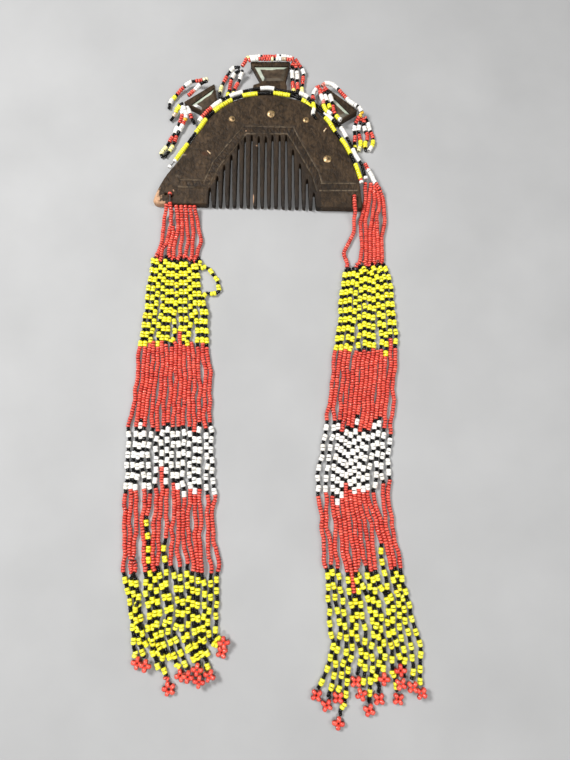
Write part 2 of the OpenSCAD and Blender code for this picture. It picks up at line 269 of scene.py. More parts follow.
def ring_quads(rows, sides, joined=False):
    """Quads between rows of points that run round, also from the last row to the first if joined."""
    row = np.arange(rows if joined else rows - 1)[:, None]
    k = np.arange(sides)
    after, k2 = (row + 1) % rows * sides, (k + 1) % sides
    row = row * sides
    return np.stack([row + k, row + k2, after + k2, after + k], axis=-1).reshape(-1, 4)


def triangles(quads):
    return np.vstack([quads[:, [0, 1, 2]], quads[:, [0, 2, 3]]])


def tube(route, radii, sides):
    """A closed tube along the route, as triangles."""
    d = units(np.gradient(route, axis=0))
    radii = np.broadcast_to(radii, len(route))
    points = route[:, None] + radii[:, None, None] * spokes(d, angles(sides))
    last = (len(route) - 1) * sides
    fan = np.arange(1, sides - 1)
    start = columns([np.zeros(sides - 2, int), fan + 1, fan])
    end = columns([np.full(sides - 2, last), last + fan, last + fan + 1])
    return points.reshape(-1, 3), np.vstack([triangles(ring_quads(len(route), sides)), start, end])


def build(name, points, faces, look, nodes, marks=None, sharp=None):
    """Makes one piece that rides on the comb and stands for the named nodes."""
    mesh = bpy.data.meshes.new(name)
    faces = np.asarray(faces, np.int32)
    mesh.vertices.add(len(points))
    mesh.vertices.foreach_set("co", (np.asarray(points, float) * MM).ravel())
    mesh.loops.add(faces.size)
    mesh.loops.foreach_set("vertex_index", faces.ravel())
    mesh.polygons.add(len(faces))
    mesh.polygons.foreach_set("loop_start", np.arange(0, faces.size, faces.shape[1], dtype=np.int32))
    mesh.update(calc_edges=True)
    mesh.polygons.foreach_set("use_smooth", np.ones(len(faces), bool))
    for mark, values in (marks or {}).items():
        layer = mesh.attributes.new(mark, "FLOAT", "POINT")
        layer.data.foreach_set("value", np.asarray(values, np.float32))
    mesh.materials.append(LOOKS[look])
    if sharp:
        mesh.set_sharp_from_angle(angle=math.radians(sharp))
    piece = put(name, mesh)
    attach(piece, "root")
    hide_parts(*nodes)


class Look:
    """A material made of nodes, whose textures are measured in millimetres."""

    def __init__(self, name, **sockets):
        self.material = bpy.data.materials.new(name)
        self.material.use_nodes = True
        self.tree = self.material.node_tree
        self.surface = self.tree.nodes["Principled BSDF"]
        self.space = self.tree.nodes.new("ShaderNodeTexCoord").outputs["Object"]
        for socket, value in sockets.items():
            self.surface.inputs[socket.replace("_", " ")].default_value = value

    def feed(self, socket, value):
        """Gives a socket a node's output, a number, or a colour as a tuple."""
        if isinstance(value, bpy.types.NodeSocket):
            self.tree.links.new(value, socket)
        else:
            socket.default_value = (*value, 1) if isinstance(value, tuple) else value

    def node(self, kind, **inputs):
        node = self.tree.nodes.new("ShaderNode" + kind)
        for name, value in inputs.items():
            self.feed(node.inputs[name], value)
        return node

    def noise(self, cells, detail=4, roughness=0.55, stretch=(1, 1, 1)):
        """Noise with so many cells to a millimetre."""
        place = self.node("Mapping", Vector=self.space, Scale=[cells * s / MM for s in stretch])
        noise = self.node("TexNoise", Vector=place.outputs["Vector"], Scale=1, Detail=detail,
                          Roughness=roughness)
        return noise.outputs["Fac"]

    def mark(self, name):
        """The value that the mesh holds at each point under that name."""
        node = self.node("Attribute")
        node.attribute_name = name
        return node.outputs["Fac"]

    def ramp(self, factor, *stops):
        """Grey levels or colours at places from 0 to 1."""
        node = self.node("ValToRGB", Fac=factor)
        elements = node.color_ramp.elements
        while len(elements) < len(stops):
            elements.new(0.5)
        for element, (place, colour) in zip(elements, stops):
            element.position = place
            element.color = (*colour, 1) if isinstance(colour, tuple) else (colour, colour, colour, 1)
        return node.outputs["Color"]

    def mix(self, factor, first, second, blend="MIX"):
        """The second colour over the first, as far as the factor says."""
        node = self.node("Mix")
        node.data_type = "RGBA"
        node.blend_type = blend
        for i, value in ((0, factor), (6, first), (7, second)):
            self.feed(node.inputs[i], value)
        return node.outputs[2]

    def times(self, first, second):
        return self.mix(1.0, first, second, "MULTIPLY")

    def bump(self, height, distance, strength, below=None):
        """Unevenness of so many millimetres, on top of what lies below it."""
        node = self.node("Bump", Height=height, Distance=distance * MM, Strength=strength)
        if below:
            self.feed(node.inputs["Normal"], below)
        return node.outputs["Normal"]

    def finish(self, colour, roughness=None, normal=None):
        for socket, value in (("Base Color", colour), ("Roughness", roughness), ("Normal", normal)):
            if value is not None:
                self.feed(self.surface.inputs[socket], value)
        return self.material


def dark_wood():
    look = Look("dark_wood", Specular_IOR_Level=0.18)
    streaks = look.noise(0.8, 8, 0.7, (1, 0.22, 1))
    crust = look.noise(0.75, 8, 0.7, (1, 0.8, 1))
    mottling = look.noise(0.13, 6, 0.62, (1, 0.7, 1))
    folds = look.ramp(look.noise(0.24, 5, 0.6, (1, 0.6, 1)), (0.43, 1.0), (0.5, 0.52), (0.57, 1.0))
    base = look.ramp(streaks, (0.3, (0.022, 0.013, 0.0068)), (0.5, (0.038, 0.0232, 0.0122)),
                     (0.7, (0.062, 0.039, 0.021)))
    base = look.times(base, look.ramp(mottling, (0.36, 0.74), (0.5, 1.0), (0.66, 1.26)))
    base = look.times(base, look.ramp(crust, (0.34, 0.64), (0.5, 1.0), (0.64, 1.5)))
    base = look.times(base, folds)
    # Marks over the stain: worn edges with a painted highlight, lighter carved lines, stains, and a near
    # black for painted shade in the carving and low down, which also darkens the teeth towards their tips
    for mark, colour in (("worn", (0.075, 0.048, 0.026)), ("carved", (0.17, 0.13, 0.088)),
                         ("stained", (0.055, 0.023, 0.011)), ("painted_shade_dark_teeth", (0.012, 0.009, 0.007))):
        base = look.mix(look.mark(mark), base, colour)
    raw = look.ramp(streaks, (0.3, (0.40, 0.22, 0.12)), (0.7, (0.60, 0.38, 0.24)))
    normal = look.bump(folds, 0.3, 0.8, look.bump(crust, 0.34, 1.0, look.bump(streaks, 0.14, 0.8)))
    roughness = look.ramp(crust, (0.35, 0.42), (0.65, 0.72))
    return look.finish(look.mix(look.mark("raw"), base, raw), roughness, normal)


def mirror_glass():
    look = Look("mirror_glass", Coat_Weight=0.2, Coat_Roughness=0.08, Specular_IOR_Level=0.35)
    clouds = look.noise(0.25, 6, 0.6)
    specks = look.noise(1.6, 3, 0.7)
    # The face: a painted dark brown reflection of the room, with lighter flecks; the sloped edges: a painted
    # pale reflection
    back = look.ramp(clouds, (0.32, (0.022, 0.016, 0.011)), (0.5, (0.055, 0.038, 0.024)),
                     (0.7, (0.10, 0.072, 0.046)))
    back = look.mix(look.ramp(specks, (0.62, 0.0), (0.72, 0.5)), back, (0.12, 0.09, 0.06))
    pale = look.ramp(clouds, (0.3, (0.34, 0.40, 0.31)), (0.7, (0.60, 0.66, 0.54)))
    return look.finish(look.mix(look.mark("bevel"), back, pale), look.ramp(specks, (0.4, 0.28), (0.7, 0.5)),
                       look.bump(clouds, 0.05, 0.4))


def brass():
    look = Look("brass", Metallic=0.85)
    tarnish = look.noise(0.8, 6, 0.66)
    colour = look.ramp(tarnish, (0.34, (0.15, 0.09, 0.042)), (0.5, (0.46, 0.31, 0.155)),
                       (0.66, (0.80, 0.59, 0.33)))
    colour = look.mix(look.mark("dark"), colour, (0.035, 0.022, 0.012))
    roughness = look.ramp(tarnish, (0.35, 0.7), (0.65, 0.36))
    return look.finish(colour, roughness, look.bump(look.noise(4, 3, 0.6), 0.04, 0.8))


def nail_steel():
    look = Look("nail_steel", Metallic=0.35)
    rust = look.noise(1.4, 5, 0.6)
    colour = look.ramp(rust, (0.36, (0.20, 0.10, 0.05)), (0.5, (0.74, 0.54, 0.33)),
                       (0.66, (0.98, 0.84, 0.62)))
    return look.finish(colour, look.ramp(rust, (0.36, 0.75), (0.6, 0.32)), look.bump(rust, 0.04, 0.6))


def thread_fibre():
    look = Look("thread_fibre", Sheen_Weight=0.3)
    strands = look.noise(4, 3, 0.6)
    colour = look.ramp(strands, (0.35, (0.010, 0.009, 0.008)), (0.65, (0.055, 0.048, 0.042)))
    return look.finish(colour, look.ramp(strands, (0.3, 0.7), (0.7, 0.95)), look.bump(strands, 0.05, 0.8))


def bead_glass(name, roughness, coat, specular, seam_shade, *stops):
    """Bead glass, whose colour at a bead follows the tone that its mesh holds, with painted shade of the
    given depth at its ends, where it meets the next bead.
    """
    look = Look(name, Coat_Weight=coat, Coat_Roughness=0.04, Specular_IOR_Level=specular)
    colour = look.ramp(look.mark("tone"), *stops)
    # Painted shade at the bead's ends, where beads meet
    colour = look.times(colour, look.ramp(look.mark("seam"), (0.45, 1.0), (1.0, seam_shade)))
    colour = look.times(colour, look.ramp(look.noise(0.9, 4, 0.6), (0.3, 0.86), (0.7, 1.08)))
    shine = look.ramp(look.noise(1.7, 3, 0.5), (0.3, roughness * 0.75), (0.7, roughness * 1.3))
    return look.finish(colour, shine, look.bump(look.noise(2.4, 2, 0.5), 0.03, 0.5))


LOOKS = {
    "wood": dark_wood(),
    "mirror": mirror_glass(),
    "brass": brass(),
    "steel": nail_steel(),
    "red": bead_glass(
        "bead_red", 0.28, 0.3, 0.5, 0.4, (0.0, (0.36, 0.024, 0.016)), (0.25, (0.66, 0.058, 0.038)),
        (0.75, (0.82, 0.100, 0.064)), (0.95, (0.86, 0.16, 0.11)), (1.0, (0.84, 0.40, 0.32))),
    "yellow": bead_glass(
        "bead_yellow", 0.28, 0.35, 0.5, 0.75, (0.0, (0.80, 0.42, 0.02)), (0.25, (0.83, 0.74, 0.025)),
        (0.75, (0.88, 0.85, 0.045)), (0.9, (0.88, 0.80, 0.20)), (1.0, (0.86, 0.80, 0.52))),
    "white": bead_glass(
        "bead_white", 0.26, 0.35, 0.5, 1.0, (0.0, (0.46, 0.34, 0.22)), (0.25, (0.72, 0.67, 0.58)),
        (0.4, (0.80, 0.77, 0.71)), (0.9, (0.84, 0.82, 0.78)), (1.0, (0.78, 0.80, 0.80))),
    "black": bead_glass(
        "bead_black", 0.07, 0.35, 0.12, 1.0, (0.0, (0.002, 0.002, 0.002)), (1.0, (0.006, 0.0055, 0.006))),
    "thread": thread_fibre()}


# The comb's outline in the plane: the arch's edge, the finials, and the feet with the gaps between
OUTLINE_STEP = 0.45
# The left foot's cut corner: how far up the edge it reaches, and the x and lift of its lower points
CORNER_CUT = 1.6
CORNER_LOW = ((-53, 0), (-54.3, 0.3))


def finial_place(f, points):
    """Turns a finial's own points to where it stands on the arch."""
    c, s = math.cos(math.radians(f.turn)), math.sin(math.radians(f.turn))
    x, y = np.asarray(points, float).T
    return columns([f.x + x * c - y * s, f.y + x * s + y * c])


def finial_path(f):
    left = [(-f.base, -f.root_d), (-f.base, -f.base_d), (-f.neck_left, -f.neck_d), (-f.left, 0)]
    right = [(f.right, 0), (f.neck_right, -f.neck_d), (f.base, -f.base_d), (f.base, -f.root_d)]
    return finial_place(f, left + right)


def mirror_corners(f, gap):
    """The corners of a mirror that is smaller than its recess by the gap."""
    high = -RECESS_RIM - gap
    low = -f.neck_d + RECESS_SIDE + gap
    side = RECESS_SIDE + gap
    lean_left = (f.left - f.neck_left) / f.neck_d
    lean_right = (f.right - f.neck_right) / f.neck_d
    left = [(-f.left - lean_left * y + side, y) for y in (low, high + f.skew / 2)]
    right = [(f.right + lean_right * y - side, y) for y in (high - f.skew / 2, low)]
    return np.array([left[1], *right, left[0]])


def gap_end(x):
    """How high the gap between two teeth reaches."""
    return min(FIELD_H, (x - FIELD_LEFT[0]) * FIELD_LEFT[1], (x - FIELD_RIGHT[0]) * FIELD_RIGHT[1])


def worn_low(x):
    """Where the lower edge runs, which wears away towards the left foot."""
    return 1.45 - 0.026 * x


def comb_outline(edge):
    """The closed outline, clockwise, and which of its points lie on a finial."""
    s = run_lengths(edge)
    parts = []
    on_finial = []
    done = CORNER_CUT
    for f in FINIALS.values():
        path = refine(finial_path(f), 0.1)
        path = path[~inside(path, closed(edge))]
        nearest = [s[np.argmin(norms(edge - p))] for p in (path[0], path[-1])]
        stretch = along(edge, np.arange(done, nearest[0] - 0.5, OUTLINE_STEP))
        path = along(path, np.arange(0, run_lengths(path)[-1] + 0.2, OUTLINE_STEP))
        parts += [stretch, path]
        on_finial += [False] * len(stretch) + [True] * len(path)
        done = nearest[1] + 0.6
    stretch = along(edge, np.arange(done, s[-1], OUTLINE_STEP))
    bottom = [edge[-1]]
    for i in reversed(range(GAP_COUNT)):
        x = GAP_FIRST + i * TOOTH_PITCH + draw.uniform(-0.1, 0.1)
        top = gap_end(x) + draw.uniform(-0.7, 0.5)
        lean = x + draw.uniform(-0.12, 0.12)
        tip_y = worn_low(x) + draw.uniform(-0.35, 0.35)
        bottom += [(x + GAP_TIP_W / 2, tip_y), (lean + GAP_TOP_W / 2, top - GAP_TOP_W), (lean, top),
                   (lean - GAP_TOP_W / 2, top - GAP_TOP_W), (x - GAP_TIP_W / 2, tip_y)]
    bottom += [(x, worn_low(x) + lift) for x, lift in CORNER_LOW]
    bottom.append(along(edge, [CORNER_CUT])[0])
    bottom = refine(bottom, OUTLINE_STEP)[:-1]
    outline = np.vstack(parts + [stretch, bottom])
    on_finial += [False] * (len(stretch) + len(bottom))
    for _ in range(2):
        outline = (np.roll(outline, 1, axis=0) + 2 * outline + np.roll(outline, -1, axis=0)) / 4
    return outline, np.array(on_finial)


# Carved lines: two that follow the teeth, and a pair across each foot, with triangles between each two
OUTER_CARVED = np.array([(-29, 14.5), (-24.1, 26.5), (-8.7, 46.6), (18, 46), (21.6, 38.3), (31, 20.7),
                         (33, 14)])
INNER_CARVED = np.array([(-26.2, 13.5), (-20.6, 24.2), (-7, 42.2), (14.8, 42.2), (18.3, 36.3), (27.5, 19.2),
                         (30.4, 9.5)])
FEET_CARVED = [(np.array([(-41.5, 16), (-28.4, 15.6)]), np.array([(-42, 12), (-28, 11.6)])),
               (np.array([(32.6, 13.8), (50.4, 13.8)]), np.array([(31.6, 9.8), (51.2, 9.8)]))]
TOOTH_FIELD = np.array([(-27.5, -1), (-27.5, 8), (-8, 42), (15, 42), (32.5, 8), (32.5, -1)])
LINE_DEPTH = 0.62
LINE_HALF = 0.5
TRIANGLE_PITCH = 3.2
TRIANGLE_DEPTH = 0.34
TRIANGLE_HALF = 0.38


def zigzag(first, second):
    """A line that goes to and fro between two lines, once in each pitch."""
    n = max(2, round(run_lengths(first)[-1] / TRIANGLE_PITCH)) * 2
    share = np.arange(n + 1) / n
    a, b = (along(line, share * run_lengths(line)[-1]) for line in (first, second))
    return np.where((np.arange(n + 1) % 2 == 0)[:, None], a, b)


# The radii of worn edges, and how much more the left foot's corner is worn, where the stain is gone
TOOTH_RADIUS = 0.62
PLATE_RADIUS = 0.9
WORN_CORNER = (-52.2, 4.2)
WORN_MORE = 1.1
WORN_REACH = 4


def edge_radius(points):
    """The radius to which the wood's edge is worn."""
    x, y = points.T
    in_teeth = (x > GAP_FIRST - 1.5) & (x < -GAP_FIRST + 5) & (y < FIELD_H + 2)
    more = WORN_MORE * np.exp(-(norms(points - WORN_CORNER) / WORN_REACH) ** 2)
    return np.where(in_teeth, TOOTH_RADIUS, PLATE_RADIUS) + more


def comb_grid(outline, step):
    """Points of a slightly shaken grid over the comb."""
    (low_x, low_y), (high_x, high_y) = outline.min(axis=0), outline.max(axis=0)
    x, y = np.meshgrid(np.arange(low_x, high_x, step), np.arange(low_y, high_y, step))
    x = x + (np.arange(len(x)) % 2 * step / 2)[:, None]
    points = columns([x.ravel(), y.ravel()])
    return points + draw.uniform(-0.12, 0.12, points.shape) * step


def fill_plane(rings, loose, keep):
    """Triangles over closed rings and loose points, where keep says that a middle counts."""
    edges = []
    start = 0
    for ring in rings:
        n = len(ring)
        edges += [(start + i, start + (i + 1) % n) for i in range(n)]
        start += n
    points = [tuple(p) for p in np.vstack(rings + [loose])]
    verts, _, faces, sources, _, _ = delaunay_2d_cdt(points, edges, [], 0, 1e-5, True)
    plane = np.array([(v[0], v[1]) for v in verts])
    faces = np.array([f[:3] for f in faces])
    faces = faces[keep(plane[faces].mean(axis=1))]
    a, b = (plane[faces[:, k]] - plane[faces[:, 0]] for k in (1, 2))
    turned = a[:, 0] * b[:, 1] - a[:, 1] * b[:, 0] < 0
    faces[turned] = faces[turned][:, ::-1]
    place = {source: i for i, group in enumerate(sources) for source in group}
    return plane, faces, place


def clear_of(points, rings, gap):
    """The points that lie farther than the gap from round holes."""
    for ring in rings:
        middle = ring.mean(axis=0)
        points = points[norms(points - middle) > np.linalg.norm(ring[0] - middle) + gap]
    return points


# Places where pale wood shows through the stain: x, y, half width, half height
RAW_PLACES = [(-55.6, 3.4, 5.2, 8.8), (-51.5, 2.9, 3.6, 1.4), (-7, 43.6, 0.4, 0.35),
              (-1.1, 35.3, 0.35, 0.35), (-44.5, 9.8, 0.4, 0.4), (-2.9, 5.6, 0.45, 2.4)]
# Places stained by rust and old thread: x, y, half width, half height
STAINED_PLACES = [(-28.4, 30.6, 2.2, 1.5), (36, 45, 1.6, 1.2), (-46, 6.4, 1.8, 1.6)]


def spots(points, places, rng):
    """From 0 to 1: how far each point lies within one of the places, with ragged edges."""
    ragged = 1 + waves(points, [(3.1, 0.25), (1.3, 0.2)], rng)
    total = np.zeros(len(points))
    for x, y, half_w, half_h in places:
        reach = ((points[:, 0] - x) / half_w) ** 2 + ((points[:, 1] - y) / half_h) ** 2
        total = np.maximum(total, np.clip((ragged - np.sqrt(reach)) * 3, 0, 1))
    return total


# The comb's mesh: sides of a round hole, rows of points over a rounded edge and down a wall, all as shares
HOLE_SIDES = 12
FACE_ROWS = (0.03, 0.15, 0.36, 0.65, 1.0)
BACK_ROWS = (0.12, 0.4, 1.0)
WALL_ROWS = (0.33, 0.67)
# Rows of points beside the plate's edge under the finials, and round the recesses
JOIN_ROWS = (0.06, -0.03, -0.15, -0.36, -0.65, -0.9)
RECESS_ROWS = (0.07, 0.3)
# The radii of the edges of the finials, the back, the recesses and the thread holes
FINIAL_RADIUS = 0.45
BACK_RADIUS = 0.4
RECESS_RADIUS = 0.3
HOLE_RADIUS = 0.25
# Grids of points: the step and the distance from the outline, on the back and on the face, where a finer
# one lies along what is carved: its step, its reach, and the distance at which the other begins
BACK_GRID = (3, 1.2)
FACE_GRID = (0.5, 1.05)
FINE_GRID = (0.23, 0.62, 0.7)


class Comb:
    """The wooden plate with its teeth and finials, as one closed skin."""

    def __init__(self):
        self.edge = smooth(EDGE_KNOTS)
        self.outline, self.on_finial = comb_outline(self.edge)
        self.recesses = [refine(closed(finial_place(f, mirror_corners(f, 0)))[::-1], OUTLINE_STEP)[-2::-1]
                         for f in FINIALS.values()]
        self.through = [circle(x, y, THREAD_HOLE_D / 2, HOLE_SIDES) for x, y in THREAD_HOLES]
        blind = [(*t[:2], SHANK_D) for t in TACKS.values()] + [(*n[:2], NAIL_D) for n in NAILS.values()]
        self.blind = [circle(x, y, d / 2 + FIT, HOLE_SIDES) for x, y, d in blind]
        self.from_outline = distance_to([closed(self.outline)])
        self.from_edge = distance_to([self.edge])
        self.from_recess = distance_to([closed(ring) for ring in self.recesses])
        self.from_hole = distance_to([closed(ring) for ring in self.through])
        pairs = [(OUTER_CARVED, INNER_CARVED)] + FEET_CARVED
        self.lines = [line for pair in pairs for line in pair]
        self.triangles = [zigzag(*pair) for pair in pairs]
        self.seeds = draw.integers(0, 9999, 4)

    def rng(self, i):
        return np.random.default_rng(self.seeds[i])

    def carving(self, points):
        """How deep the carved lines are at each point."""
        wobble = waves(points, [(5, 0.10), (2.2, 0.06)], self.rng(0))
        faint = np.clip(0.55 + waves(points, [(13, 0.5)], self.rng(3)), 0.15, 1)
        cuts = nearness(line_distance(points, *self.triangles), TRIANGLE_HALF) * TRIANGLE_DEPTH * faint
        lines = nearness(line_distance(points, *self.lines), LINE_HALF) * LINE_DEPTH
        return np.maximum(lines, cuts) * (1 + 2.5 * wobble)

    def heights(self, points):
        """The face's height at each point, and the distance to the nearest edge."""
        x, y = points.T
        out = self.from_outline(points)
        in_plate = inside(points, self.edge)
        edge_gap = np.where(in_plate, np.minimum(out, self.from_edge(points)), out)
        plain = face_z(y)
        in_teeth = (x > GAP_FIRST) & (x < GAP_FIRST + (GAP_COUNT - 1) * TOOTH_PITCH)
        bevel = TIP_T + (face_z(TIP_BEVEL) - TIP_T) * y / TIP_BEVEL
        plain = np.where(in_teeth, np.minimum(plain, bevel), plain)
        uneven = waves(points, [(19, 0.10), (7, 0.07), (3.4, 0.045)], self.rng(1))
        plate = plain + uneven - rounded(edge_gap, edge_radius(points)) - self.carving(points)
        finial = FINIAL_T + 0.6 * uneven - rounded(edge_gap, FINIAL_RADIUS)
        z = np.where(in_plate, plate, finial)
        from_recess = self.from_recess(points)
        in_recess = (inside_any(points, self.recesses) | (from_recess < 0.02)) & ~in_plate
        z = np.where(in_plate | in_recess, z, z - rounded(from_recess, RECESS_RADIUS) * 0.6)
        z = np.where(in_recess, FINIAL_T - RECESS_D, z)
        return z - rounded(self.from_hole(points), HOLE_RADIUS), edge_gap

    def rows_inside(self, shares, radius):
        """Rows of points beside the outline, as far in as the shares of the edge's radius."""
        rows = [self.outline - outward(self.outline) * (share * radius)[:, None] for share in shares]
        return [row[self.from_outline(row) > 0.92 * share * radius] for share, row in zip(shares, rows)]

    def face_points(self):
        """The points that shape the face inside the outline, closer together near what is carved."""
        step, from_outline = FACE_GRID
        fine_step, reach, begin = FINE_GRID
        coarse, fine = comb_grid(self.outline, step), comb_grid(self.outline, fine_step)
        coarse_off, fine_off = (line_distance(p, *self.lines, *self.triangles) for p in (coarse, fine))
        grid = np.vstack([coarse[coarse_off > begin], fine[fine_off < reach]])
        radius = np.where(self.on_finial, FINIAL_RADIUS, edge_radius(self.outline))
        rows = self.rows_inside(FACE_ROWS, radius)
        edge = along(self.edge, np.arange(1, run_lengths(self.edge)[-1], OUTLINE_STEP))
        under_finial = self.from_outline(edge) > 0.1
        rows += [(edge + aside(edge) * off)[under_finial] for off in JOIN_ROWS]
        rows += [ring + outward(ring) * off for ring in self.recesses for off in RECESS_ROWS]
        points = np.vstack(rows + [grid[self.from_outline(grid) > from_outline]])
        points = points[inside(points, self.outline)]
        return clear_of(points[self.from_outline(points) > 0.015], self.through + self.blind, 0.12)

    def back_points(self):
        rows = self.rows_inside(BACK_ROWS, np.full(len(self.outline), BACK_RADIUS))
        step, from_outline = BACK_GRID
        grid = comb_grid(self.outline, step)
        points = np.vstack(rows + [grid[self.from_outline(grid) > from_outline]])
        return clear_of(points[inside(points, self.outline)], self.through, 0.3)

    def fill(self, other_rings, holes, points):
        """The skin of one side, with its holes left open."""
        return fill_plane([self.outline] + other_rings + holes, points,
                          lambda middles: inside(middles, self.outline) & ~inside_any(middles, holes))

    def make(self):
        holes = self.through + self.blind
        plane, faces, place = self.fill(self.recesses, holes, self.face_points())
        z, gap = self.heights(plane)
        back_plane, back_faces, back_place = self.fill([], self.through, self.back_points())
        back_gap = self.from_outline(back_plane)
        points = [level(plane, z), level(back_plane, rounded(back_gap, BACK_RADIUS))]
        gaps = [gap, back_gap]
        skins = [faces, back_faces[:, ::-1] + len(plane)]
        count = len(plane) + len(back_plane)
        start = 0
        back_start = 0
        for ring in [self.outline] + self.recesses + holes:
            n = len(ring)
            top = np.array([place[start + i] for i in range(n)])
            start += n
            if any(ring is recess for recess in self.recesses):
                continue
            blind = any(ring is hole for hole in self.blind)
            if blind:
                walls = [z[top].mean() - SHANK_L - FIT]
            else:
                walls = [z[top] * (1 - share) + BACK_RADIUS * share for share in WALL_ROWS]
            rows = [top]
            for wall in walls:
                points.append(level(ring, wall))
                rows.append(np.arange(count, count + n))
                count += n
            gaps.append(np.zeros(n * len(walls) + blind))
            if blind:
                points.append([[*ring.mean(axis=0), walls[0]]])
                skins.append(columns([rows[1], np.roll(rows[1], -1), np.full(n, count)]))
                count += 1
            else:
                rows.append(np.array([back_place[back_start + i] for i in range(n)]) + len(plane))
                back_start += n
            for a, b in zip(rows, rows[1:]):
                a2, b2 = np.roll(a, -1), np.roll(b, -1)
                skins += [columns([a, a2, b2]), columns([a, b2, b])]
        skin = np.vstack(skins)
        skin = skin[(skin[:, 0] != skin[:, 1]) & (skin[:, 1] != skin[:, 2]) & (skin[:, 0] != skin[:, 2])]
        points = np.vstack(points)
        marks = self.marks(points, np.concatenate(gaps))
        build("comb_wood", points, skin, "wood", ["comb_body"], marks, sharp=50)

    def marks(self, points, gap):
        """From 0 to 1 at each point: how raw, stained and carved the wood is, how worn it is with a painted
        highlight on its edges, and how much painted shade and darkening of the teeth it gets.
        """
        flat, z = points[:, :2], points[:, 2]
        rng = self.rng(2)
        off = line_distance(flat, *self.lines)
        carved = 0.55 + waves(flat, [(11, 0.45), (4, 0.3)], rng) + 0.4 * (flat[:, 0] > 32)
        carved *= 1 - off / (LINE_HALF * 1.1)
        cut = nearness(line_distance(flat, *self.triangles), TRIANGLE_HALF * 1.3)
        # Painted shade: a dark band beside each carved line, and dark in the cut triangles
        shade = 0.75 * np.exp(-((off - 0.72) / 0.22) ** 2) + 1.1 * cut
        shade *= 0.6 + waves(flat, [(7, 0.5), (3, 0.3)], rng)
        in_teeth = inside(flat, TOOTH_FIELD) & (flat[:, 1] < FIELD_H)
        # The teeth are darker, most at their tips; elsewhere this is the painted shade of the carving
        painted_shade_teeth = np.where(in_teeth, 0.68 - 0.006 * flat[:, 1], shade.clip(0, 0.8))
        raw, stained = (spots(flat, places, rng) for places in (RAW_PLACES, STAINED_PLACES))
        # Wear at random over the face, and along the edges, where the lighter colour is also a painted
        # highlight
        worn = np.exp(-gap / 0.35) * 0.7 + waves(flat, [(9, 0.3), (2.5, 0.2)], rng)
        return {
            "raw": raw,
            "stained": stained * 0.7,
            "carved": np.where(z > 1.5, np.clip(carved, 0, 1), 0),
            # Below 3.5 mm, on the walls between the teeth and round the plate, on the tips and on the back,
            # painted shade darkens the wood further
            "painted_shade_dark_teeth": np.where(z > 1.5, painted_shade_teeth, 0) + np.where(z < 3.5, 0.3, 0),
            "worn": np.clip(worn, 0, 1) * 0.6}


# How much painted pale reflection each mirror's sloped edges get: the outer one, then the right, lower and
# left ones
PAINTED_BEVEL_REFLECTION = {"left": (0.9, 0, 0, 0.05), "top": (0.8, 0.03, 0.03, 0.6), "right": (0.9, 0.1, 0.05, 0)}
# Points across and down each mirror, and how thick it is at its edges
MIRROR_POINTS = (72, 36)
MIRROR_EDGE_T = MIRROR_T * 0.4


def mirror(side):
    """A pane of old mirror glass with sloped edges, a little out of true, whose edges get a painted pale
    reflection.
    """
    a, b, c, d = mirror_corners(FINIALS[side], FIT)
    across, down = MIRROR_POINTS
    s, t = (part.reshape(-1, 1) for part in np.meshgrid(np.linspace(0, 1, across), np.linspace(0, 1, down)))
    flat = (a * (1 - s) + b * s) * (1 - t) + (d * (1 - s) + c * s) * t
    edges = [line_distance(flat, pair) for pair in ((a, b), (b, c), (c, d), (d, a))]
    width = MIRROR_BEVEL * (1 + waves(flat, [(14, 0.25), (5, 0.12)], draw))
    share = np.clip(np.min(edges, axis=0) / width, 0, 1)
    low = FINIAL_T - RECESS_D + FIT
    flat = finial_place(FINIALS[side], flat)
    top = low + MIRROR_EDGE_T + (MIRROR_T - MIRROR_EDGE_T) * share
    points = np.vstack([level(flat, top), level(flat, low)])
    n = across * down
    index = np.arange(n).reshape(down, across)
    corners = [index[:-1, :-1], index[1:, :-1], index[1:, 1:], index[:-1, 1:]]
    cells = columns([corner.ravel() for corner in corners])
    rim = np.concatenate([index[0, :], index[1:, -1], index[-1, -2::-1], index[-2:0:-1, 0]])
    after = np.roll(rim, -1)
    skin = triangles(np.vstack([cells, cells[:, ::-1] + n, columns([rim, after, after + n, rim + n])]))
    # Painted pale reflection on the sloped edges, side by side as the table gives it
    pale = (share < 0.97) * np.array(PAINTED_BEVEL_REFLECTION[side])[np.argmin(edges, axis=0)]
    marks = {"bevel": np.concatenate([pale, np.zeros(n)])}
    nodes = ["mirror_" + side]
    build("mirror_glass_" + side, points, skin, "mirror", nodes, marks, sharp=12)


def on_face(points, x, y):
    """Stands points on the sloping face of the plate."""
    c, s = math.cos(FACE_TILT), math.sin(FACE_TILT)
    px, py, pz = points.T
    return columns([x + px, y + py * c - pz * s, face_z(y) + py * s + pz * c])


TACK_SIDES = 40
DENT_DEPTH = 0.3


